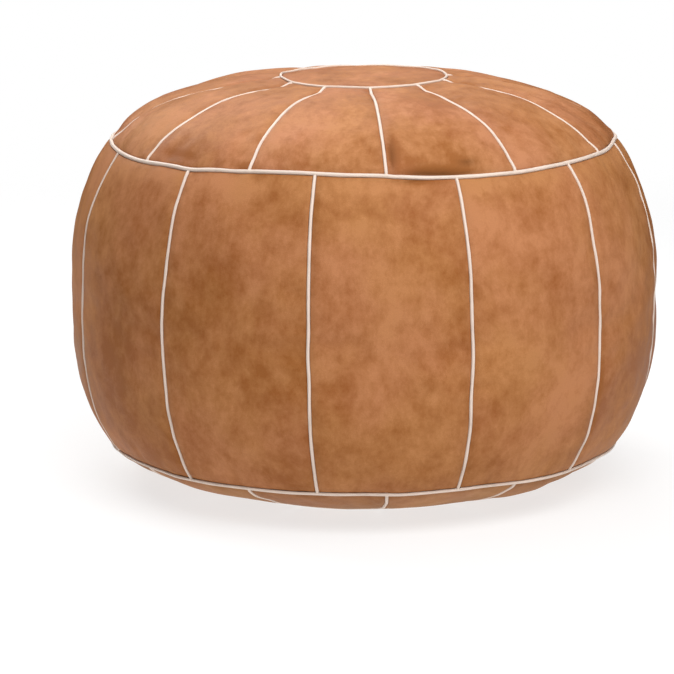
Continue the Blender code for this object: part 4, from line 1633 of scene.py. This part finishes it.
@dataclass
class Base:
    """The two half discs of leather under the pouf, hemmed and sewn along the zip's valley.

    The valley is the shallow channel that keeps the zip off the floor.
    """

    finishes: Finishes
    disc_r: float = 160.0 * MM
    cord_r: float = 2.0 * MM
    leather: float = 1.3 * MM
    slot_half: float = 6.0 * MM
    valley_half: float = 30.0 * MM
    valley_depth: float = 3.2 * MM
    stitch_lines: tuple[float, float] = (8.2 * MM, 13.4 * MM)
    stitch_pitch: float = 4.4 * MM
    stitch_length: float = 3.1 * MM
    stitch_r: float = 0.36 * MM
    stitched_half: float = 146.0 * MM

    def height(self, y: Array) -> Array:
        """Returns the height of the leather's under side at a distance from the zip's line."""
        rise = np.clip((self.valley_half - y) / (self.valley_half - self.slot_half), 0.0, 1.0)
        return self.valley_depth * smooth(rise)

    def build_half(self, word: str, side: float) -> None:
        """Builds one half disc, with its rim turned up beside the piping."""
        edge = self.disc_r - 1.03 * self.cord_r
        start = np.arcsin(self.slot_half / edge)
        turn = np.linspace(start, radians(88.5), 60)
        y = (edge * np.sin(turn))[:, None]
        share = np.sin(np.linspace(-pi / 2.0, pi / 2.0, 90))[None]
        reach = np.sqrt(edge**2 - y**2)
        x = share * reach
        rim = self.disc_r - np.hypot(x, np.broadcast_to(y, x.shape))
        z = self.height(np.broadcast_to(y, x.shape))
        hem = np.clip((9.0 * MM - y) / (3.0 * MM), 0.0, 1.0)
        z = z + Puff(0.0, 0.0, 1.0).turned(rim, self.cord_r)
        flat = np.stack([x, np.broadcast_to(side * y, x.shape)], axis=-1)
        wave = Lumps(Seed.BASE_LUMPS, 0.35 * MM, 0.06)(np.concatenate([flat, z[..., None]], axis=-1))
        z = z + np.abs(wave) * (1.0 - hem) * np.clip(rim / (12.0 * MM), 0.0, 1.0)
        points = np.concatenate([flat, z[..., None]], axis=-1)
        # Painted shade beside the rim's piping and along the edge of the zip's slot.
        near = {SHADE_ATTRIBUTE: np.exp(-np.minimum(rim, y - self.slot_half) / SHADE_REACH)}
        piece = lattice(f"base_half_leather_{word}", points, flat + 40.0, near)
        if piece.data.polygons[0].normal.z > 0.0:
            piece.data.flip_normals()
        thicken(piece, self.leather)
        finish_piece(piece, COVER_BODY, [f"base_half_{word}"], self.finishes.base)

    def build_stitches(self, word: str, side: float) -> None:
        """Builds two rows of stitches that hold the zip's tape to one half disc."""
        rows = [self._stitch_row(side, line, shift) for shift, line in enumerate(self.stitch_lines)]
        piece = join_pieces(f"zip_stitches_{word}", [stitch for row in rows for stitch in row])
        finish_piece(piece, COVER_BODY, [f"base_half_{word}"], self.finishes.thread)

    def _stitch_row(self, side: float, line: float, shift: int) -> list[Object]:
        """Returns one row's stitches, each a short arched thread that dips into the leather."""
        made = []
        count = int(2.0 * self.stitched_half / self.stitch_pitch)
        rise = np.array([1.0, 0.45, 0.1, 0.0, 0.1, 0.45, 1.0])
        for step in range(count):
            middle = (step + 0.5 + 0.3 * shift) * self.stitch_pitch - self.stitched_half
            x = middle + self.stitch_length * np.linspace(-0.5, 0.5, 7)
            y = np.full(7, side * line) + np.linspace(-0.14, 0.14, 7) * MM
            z = self.height(np.array(line)) + rise * 0.6 * MM - 0.1 * MM
            normals = np.tile([0.0, 0.0, -1.0], (7, 1))
            path = np.stack([x, y, z], axis=1)
            radii = self.stitch_r * (0.75 + 0.25 * (1.0 - rise))
            made.append(sweep("stitch", path, normals, radii, 8, closed=False))
        return made

    def build(self) -> None:
        """Builds both halves and their stitches."""
        for word, side in (("front", -1.0), ("back", 1.0)):
            self.build_half(word, side)
            self.build_stitches(word, side)


def join_pieces(name: str, parts: Sequence[Object]) -> Object:
    """Joins meshes into one new object, and removes the old ones."""
    bm = bmesh.new()
    for part in parts:
        bm.from_mesh(part.data)
    joined = from_bench(name, bm)
    for part in parts:
        bpy.data.objects.remove(part)
    return joined


def rounded_outline(corners: Sequence, radii: Sequence[float], steps: int = 7) -> Array:
    """Returns a polygon with each corner rounded off.

    Args:
        corners: The sharp corners, in order.
        radii: How far from each corner its rounding starts.
        steps: Points to each corner.

    Returns:
        The outline's points.
    """
    points = np.array(corners, dtype=float)
    before, after = np.roll(points, 1, axis=0), np.roll(points, -1, axis=0)
    t = np.linspace(0.0, 1.0, steps)[:, None]
    made = []
    for corner, last, following, radius in zip(points, before, after, radii):
        enter = corner + (last - corner) / np.linalg.norm(last - corner) * radius
        leave = corner + (following - corner) / np.linalg.norm(following - corner) * radius
        made.append((1 - t) ** 2 * enter + 2 * t * (1 - t) * corner + t**2 * leave)
    return np.vstack(made)


def slab(name: str, outline: Array, bottom: float, top: float, bevel: float) -> Object:
    """Makes a flat solid with bevelled edges.

    Args:
        name: The piece's name.
        outline: Its outline, seen from above.
        bottom: Height of its under side.
        top: Height of its upper side.
        bevel: Width of the bevel.

    Returns:
        The linked object.
    """
    bm = bmesh.new()
    face = bm.faces.new([bm.verts.new((x, y, bottom)) for x, y in outline])
    raised = bmesh.ops.extrude_face_region(bm, geom=[face])["geom"]
    moved = [item for item in raised if isinstance(item, bmesh.types.BMVert)]
    bmesh.ops.translate(bm, verts=moved, vec=(0.0, 0.0, top - bottom))
    bmesh.ops.recalc_face_normals(bm, faces=bm.faces)
    rim = [edge for edge in bm.edges if edge.calc_face_angle(0.0) > radians(50.0)]
    bmesh.ops.bevel(bm, geom=rim, offset=bevel, segments=2, profile=0.6, affect="EDGES")
    made = from_bench(name, bm)
    made.data.shade_smooth()
    return made


@dataclass
class Zip:
    """The zip along the base: tapes, teeth, stops, slider and pull."""

    finishes: Finishes
    level: float = 5.3 * MM
    length: float = 264.0 * MM
    tape_half: float = 155.0 * MM
    tape_inner: float = 3.5 * MM
    tape_outer: float = 16.0 * MM
    tape_half_thick: float = 0.3 * MM
    bead_r: float = 0.62 * MM
    pitch: float = 3.0 * MM
    tooth_half_thick: float = 1.15 * MM
    tooth_inner: float = 0.45 * MM
    tooth_outer: float = 3.3 * MM
    slider_x: float = 125.0 * MM
    plate_gap: float = 1.5 * MM
    plate: float = 1.0 * MM
    bail_low: float = 1.0 * MM
    hinge_z: float = 2.1 * MM

    def build_tape(self, word: str, side: float) -> None:
        """Builds one woven tape with a corded edge."""
        half = self.tape_half_thick
        turn = np.linspace(0.35 * pi, 1.65 * pi, 11)
        bead = np.stack([self.tape_inner + self.bead_r * (1 + np.cos(turn)), self.bead_r * np.sin(turn)], 1)
        y = np.linspace(self.tape_inner + 2.4 * self.bead_r, self.tape_outer - half, 14)
        tip = np.array([[self.tape_outer, 0.5 * half], [self.tape_outer, -0.5 * half]])
        under = np.stack([y, np.full(len(y), -half)], axis=1)
        over = np.stack([y[::-1], np.full(len(y), half)], axis=1)
        loop = np.vstack([bead, under, tip[::-1], over])
        x = np.linspace(-self.tape_half, self.tape_half, 121)
        sway = Waves(Seed.TAPE_SWAY + int(side), 0.12 * MM, 0.05)(x)
        outward = (loop[None, :, 0] - self.tape_inner) / (self.tape_outer - self.tape_inner)
        closing = np.clip((np.abs(x) - self.length / 2.0 - 4.0 * MM) / (4.0 * MM), 0.0, 1.0)[:, None]
        across = loop[None, :, 0] + sway[:, None] * outward - 3.2 * MM * closing * (1.0 - outward)
        points = np.stack(
            [
                np.broadcast_to(x[:, None], across.shape),
                side * across,
                np.broadcast_to(self.level + loop[None, :, 1], across.shape),
            ],
            axis=-1,
        )
        uv = np.stack(np.meshgrid(run_length(loop), x), axis=-1)
        piece = lattice(f"zip_tape_weave_{word}", points, uv, closed_across=True)
        close_ends(piece)
        finish_piece(piece, COVER_BODY, [f"zip_tape_{word}"], self.finishes.tape)

    def build_teeth(self, word: str, side: float) -> None:
        """Builds one row of teeth, half a pitch out of step with the other row."""
        half = 0.29 * self.pitch
        head, neck = self.tooth_inner, self.tooth_inner + 0.9 * MM
        right = [
            (0.8 * half, head),
            (half, head + 0.45 * MM),
            (0.62 * half, neck + 0.25 * MM),
            (0.9 * half, self.tooth_outer - 0.5 * MM),
            (0.9 * half, self.tooth_outer),
        ]
        left = [(-x, y) for x, y in right[::-1]]
        out = np.array(left[-1:] + right + left[:-1])
        out[:, 1] *= side
        low, high = self.level - self.tooth_half_thick, self.level + self.tooth_half_thick
        tooth = slab("tooth", out, low, high, 0.16 * MM)
        count = int(self.length / self.pitch) - 1
        shift = 0.25 * side * self.pitch
        bm = bmesh.new()
        for step in range(count):
            start = len(bm.verts)
            bm.from_mesh(tooth.data)
            bm.verts.ensure_lookup_table()
            x = (step + 1) * self.pitch - self.length / 2.0 + shift
            bmesh.ops.translate(bm, verts=bm.verts[start:], vec=(x, 0.0, 0.0))
        piece = from_bench(f"zip_tooth_row_{word}", bm)
        bpy.data.objects.remove(tooth)
        finish_piece(piece, COVER_BODY, [f"zip_teeth_{word}"], self.finishes.teeth)

    def build_stop(self, word: str, side: float) -> None:
        """Builds one stop, a clamp pressed over both tapes' edges."""
        near, far = self.length / 2.0 + 0.3 * MM, self.length / 2.0 + 3.3 * MM
        reach = 3.2 * MM
        corners = [(side * near, -reach), (side * far, -reach), (side * far, reach), (side * near, reach)]
        outline = rounded_outline(corners, [0.7 * MM] * 4)
        low, high = self.level - 1.2 * MM, self.level + 1.2 * MM
        body = slab("clamp", outline, low, high, 0.3 * MM)
        ridge = [(x * 0.5 + side * 0.25 * (near + far), y * 0.82) for x, y in corners]
        proud = 0.12 * MM
        crest = slab("crest", rounded_outline(ridge, [0.5 * MM] * 4), low - proud, high + proud, proud)
        piece = join_pieces(f"zip_{word}_clamp", [body, crest])
        finish_piece(piece, COVER_BODY, [f"zip_{word}_stop"], self.finishes.metal)

    def build_slider(self) -> None:
        """Builds the slider: shaped plates with guard flanges, a post and a bail."""
        at = np.array([self.slider_x, 0.0])
        corners = [(6.0, -4.2), (6.0, 4.2), (1.5, 5.0), (-6.0, 4.1), (-6.0, -4.1), (1.5, -5.0)]
        roundings = np.array([1.3, 1.3, 2.4, 1.0, 1.0, 2.4]) * MM
        outline = rounded_outline(np.array(corners) * MM + at, roundings)
        reach = self.plate_gap + self.plate
        parts = [
            slab("lower", outline, self.level - reach, self.level - self.plate_gap, 0.28 * MM),
            slab("upper", outline, self.level + self.plate_gap, self.level + reach, 0.28 * MM),
        ]
        post = np.array([(2.0, 0.0), (3.4, 0.3), (6.0, 0.3), (6.0, -0.3), (3.4, -0.3)]) * MM + at
        inner = self.plate_gap + 0.2 * MM
        parts.append(slab("post", post, self.level - inner, self.level + inner, 0.05 * MM))
        edge = self.plate_gap - 0.75 * MM
        for side in (-1.0, 1.0):
            guard = [(-5.4, side * 3.55), (2.4, side * 4.15), (2.2, side * 4.85), (-5.2, side * 4.1)]
            for sign in (-1.0, 1.0):
                low, high = sorted((self.level + sign * edge, self.level + sign * inner))
                parts.append(slab("guard", np.array(guard) * MM + at, low, high, 0.1 * MM))
        parts.append(self._bail())
        piece = join_pieces("zip_slider_body", parts)
        finish_piece(piece, "zip_slider", ["zip_slider"], self.finishes.metal)

    def _bail(self) -> Object:
        """Returns the arched loop under the slider that holds the pull."""
        turn = np.linspace(0.0, pi / 2.0, 6)
        round_r = 0.9 * MM
        reach, low = 2.4 * MM, self.bail_low
        top = self.level - self.plate_gap - self.plate + 0.25 * MM
        out, down = reach - round_r + round_r * np.cos(turn), low + round_r - round_r * np.sin(turn)
        corner = np.stack([out, down], axis=1)
        right = np.vstack([[reach, top], [reach, 0.5 * (top + low) + 0.3 * MM], corner])
        left = right[::-1] * np.array([-1.0, 1.0])
        line = np.vstack([right, [0.0, low], left])
        path = np.stack([line[:, 0] + self.slider_x, np.zeros(len(line)), line[:, 1]], axis=1)
        normals = np.tile([0.0, 1.0, 0.0], (len(path), 1))
        bail = sweep("bail", path, normals, np.full(len(path), 0.4 * MM), 14, closed=False)
        bail.data.transform(Matrix.Diagonal((1.0, 2.0, 1.0, 1.0)))
        return bail

    def build_pull(self) -> None:
        """Builds the pull: a flat tab with an eye, a raised border and a sunken middle."""
        corners = [(0.4, -2.9), (0.4, 2.9), (-7.0, 3.5), (-23.6, 3.3), (-23.6, -3.3), (-7.0, -3.5)]
        roundings = np.array([1.6, 1.6, 4.0, 3.1, 3.1, 4.0]) * MM
        outer = rounded_outline(np.array(corners) * MM, roundings, 12)
        closed = np.vstack([outer, outer[:1]])
        along = run_length(closed)
        wanted = np.linspace(0.0, along[-1], 120, endpoint=False)
        outer = np.stack([np.interp(wanted, along, closed[:, axis]) for axis in (0, 1)], axis=1)
        middle = np.array([-2.7 * MM, 0.0])
        away = outer - middle
        angle = np.arctan2(away[:, 1], away[:, 0])
        length, width = 2.3 * MM, 1.25 * MM
        eye_r = (np.abs(np.cos(angle) / length) ** 5 + np.abs(np.sin(angle) / width) ** 5) ** -0.2
        eye = middle + eye_r[:, None] * np.stack([np.cos(angle), np.sin(angle)], axis=1)
        shares = np.array([0.0, 0.02, 0.1, 0.2, 0.3, 0.7, 0.8, 0.9, 0.98, 1.0])
        heights = np.array([0.15, 0.36, 0.4, 0.4, 0.3, 0.3, 0.4, 0.4, 0.36, 0.15]) * MM
        share = np.concatenate([shares, shares[::-1]])
        z = np.concatenate([heights, -heights[::-1]])
        flat = eye[None] + share[:, None, None] * (outer - eye)[None]
        level = np.broadcast_to(z[:, None, None], flat.shape[:2] + (1,))
        points = np.concatenate([flat, level], axis=-1) + np.array([self.slider_x, 0.0, self.hinge_z])
        piece = lattice("zip_pull_tab", points, flat, closed_across=True, closed_along=True)
        close_ends(piece)
        finish_piece(piece, "zip_pull", ["zip_pull"], self.finishes.metal)

    def build(self) -> None:
        """Builds every piece of the zip."""
        for word, side in (("front", -1.0), ("back", 1.0)):
            self.build_tape(word, side)
            self.build_teeth(word, side)
        self.build_stop("top", 1.0)
        self.build_stop("bottom", -1.0)
        self.build_slider()
        self.build_pull()


@dataclass
class Stuffing:
    """The loose fibre inside, packed tight, with a channel over the zip."""

    profile: Profile
    finishes: Finishes
    inset: float = 11.0 * MM
    base_z: float = 4.6 * MM
    channel_half: float = 19.0 * MM
    channel_z: float = 9.0 * MM
    lump: float = 2.4 * MM
    columns: int = 140

    def build(self) -> None:
        """Builds the one closed, lumpy form."""
        arc = np.linspace(4.0 * MM, self.profile.base_arc - 4.0 * MM, 120)
        angle = np.linspace(0.0, tau, self.columns, endpoint=False)
        angles, arcs = np.meshgrid(angle, arc)
        side = self.profile.surface(angles, arcs, np.full(arcs.shape, -self.inset))
        side[..., 2] = np.maximum(side[..., 2], self.base_z)
        rim = np.hypot(side[-1, :, 0], side[-1, :, 1]).mean()
        r = np.linspace(rim, 3.0 * MM, 40)[1:]
        under = np.stack(
            [
                r[:, None] * np.cos(angle)[None],
                r[:, None] * np.sin(angle)[None],
                np.full((len(r), self.columns), self.base_z),
            ],
            axis=-1,
        )
        points = np.concatenate([side, under])
        low = points[..., 2] < 60.0 * MM
        rise = np.clip((self.channel_half + 5.0 * MM - np.abs(points[..., 1])) / (5.0 * MM), 0.0, 1.0)
        floor = self.base_z + (self.channel_z - self.base_z) * smooth(rise)
        points[..., 2] = np.where(low, np.maximum(points[..., 2], floor), points[..., 2])
        soft = Lumps(Seed.FIBRE_LUMPS, self.lump, 0.05)(points)
        soft = soft + Lumps(Seed.FIBRE_TUFTS, 0.4 * self.lump, 0.016)(points)
        inward = unit(np.array([0.0, 0.0, self.profile.level]) - points)
        calm = np.clip((points[..., 2] - self.base_z) / (30.0 * MM), 0.0, 1.0)
        points = points + inward * (np.abs(soft) * calm)[..., None]
        rows = np.arange(len(points)) * 0.006
        uv = np.stack(np.meshgrid(angle * 0.3, rows), axis=-1)
        piece = lattice("stuffing_fibre", points, uv, closed_across=True)
        close_ends(piece)
        piece.data.shade_smooth()
        finish_piece(piece, COVER_BODY, ["stuffing"], self.finishes.fibre)


# The studio


def heading(turn: float, rise: float) -> Vector:
    """Returns the direction at an angle about the upright axis and an angle above level."""
    return Vector((cos(rise) * cos(turn), cos(rise) * sin(turn), sin(rise)))


@dataclass(frozen=True)
class Softbox:
    """A square area light.

    Attributes:
        name: Its name.
        side: Degrees to the right of the front.
        height: Degrees above level.
        power: Power in watts.
        distance: Distance from the pouf's middle.
        size: Length of its side.
    """

    name: str
    side: float
    height: float
    power: float
    distance: float = 2.6
    size: float = 1.5

    def build(self, target: Vector) -> None:
        """Adds the light, turned to the target."""
        data = bpy.data.lights.new(self.name, "AREA")
        data.shape = "SQUARE"
        data.size = self.size
        data.energy = self.power
        lamp = link(bpy.data.objects.new(self.name, data))
        away = heading(FRONT + radians(self.side), radians(self.height))
        lamp.location = target + away * self.distance
        lamp.rotation_euler = (-away).to_track_quat("-Z", "Y").to_euler()


@dataclass(frozen=True)
class Studio:
    """A pale floor, soft lights, and the camera."""

    middle: Vector
    camera_side: float = -5.0
    camera_height: float = 10.79
    camera_distance: float = 3.680
    lens: float = 180.2
    aim_left: float = 28.8 * MM
    aim_down: float = 53.2 * MM
    floor_half: float = 4.0
    floor_fade: tuple[float, float] = (1.25, 2.3)
    floor_color: tuple[float, float, float] = (0.28, 0.28, 0.28)
    floor_glow: float = 0.72
    sky_strength: float = 0.05
    backdrop_strength: float = 1.0
    lights: tuple[Softbox, ...] = each(
        Softbox,
        ("front_softbox", 0.0, 45.0, 38.0),
        ("right_softbox", 40.0, 45.0, 29.0),
        ("back_left_softbox", -135.0, 45.0, 36.0),
        ("top_softbox", 0.0, 88.0, 13.5),
        ("back_softbox", 180.0, 45.0, 17.0),
    )

    def build(self) -> None:
        """Builds the floor, the world, the lights and the camera."""
        self._floor()
        self._sky()
        for lamp in self.lights:
            lamp.build(self.middle)
        self._camera()

    def _floor(self) -> None:
        """Adds the pale floor."""
        half = self.floor_half
        mesh = bpy.data.meshes.new("studio_floor")
        corners = [(-half, -half, 0.0), (half, -half, 0.0), (half, half, 0.0), (-half, half, 0.0)]
        mesh.from_pydata(corners, [], [(0, 1, 2, 3)])
        floor = link(bpy.data.objects.new("studio_floor", mesh))
        material, graph, shader = new_material("studio_paper")
        place = graph.node("TexCoord").outputs["Object"]
        tooth = graph.noise(place, 900.0, 2.0)
        graph.fill(shader, {"Base Color": self.floor_color, "Emission Strength": self.floor_glow})
        graph.fill(shader, {"Emission Color": (1.0, 1.0, 1.0)})
        graph.feed(shader.inputs["Roughness"], graph.remap(tooth, 0.3, 0.7, (0.85, 0.95)))
        out = graph.node("VectorMath", {0: place}, operation="LENGTH").outputs["Value"]
        near, far = self.floor_fade
        graph.feed(shader.inputs["Alpha"], graph.remap(out, near, far, (1.0, 0.0)))
        mesh.materials.append(material)

    def _sky(self) -> None:
        """Adds a faint even light, and a white backdrop for the camera behind the floor."""
        world = bpy.data.worlds.new("studio_sky")
        bpy.context.scene.world = world
        world.use_nodes = True
        graph = Graph(world.node_tree)
        background = world.node_tree.nodes["Background"]
        background.inputs["Color"].default_value = (1.0, 1.0, 1.0, 1.0)
        seen = graph.node("LightPath").outputs["Is Camera Ray"]
        spare = self.backdrop_strength - self.sky_strength
        strength = graph.plus(graph.times(seen, spare), self.sky_strength)
        graph.feed(background.inputs["Strength"], strength)

    def _camera(self) -> None:
        """Places the camera and aims it a little left of and below the pouf's middle."""
        data = bpy.data.cameras.new("camera")
        data.lens = self.lens
        data.sensor_width = 36.0
        data.clip_end = 200.0
        camera = link(bpy.data.objects.new("camera", data))
        turn = FRONT + radians(self.camera_side)
        away = heading(turn, radians(self.camera_height))
        right = Vector((-sin(turn), cos(turn), 0.0))
        up = away.cross(right)
        camera.location = self.middle + away * self.camera_distance
        target = self.middle - right * self.aim_left - up * self.aim_down
        camera.rotation_euler = (target - camera.location).to_track_quat("-Z", "Y").to_euler()
        bpy.context.scene.camera = camera
        bpy.context.scene.view_settings.view_transform = "Standard"


def main() -> None:
    """Builds the pouf and its studio in order."""
    logging.basicConfig(level=logging.INFO, format="%(name)s: %(message)s")
    far_corner = CAD_BOX[1]
    profile = Profile(far_corner.x, far_corner.z, Proportions())
    finishes = Finishes.make()
    Cover(profile, finishes).build()
    Base(finishes).build()
    Zip(finishes).build()
    Stuffing(profile, finishes).build()
    Studio(Vector((0.0, 0.0, profile.level))).build()


if __name__ == "__main__":
    main()
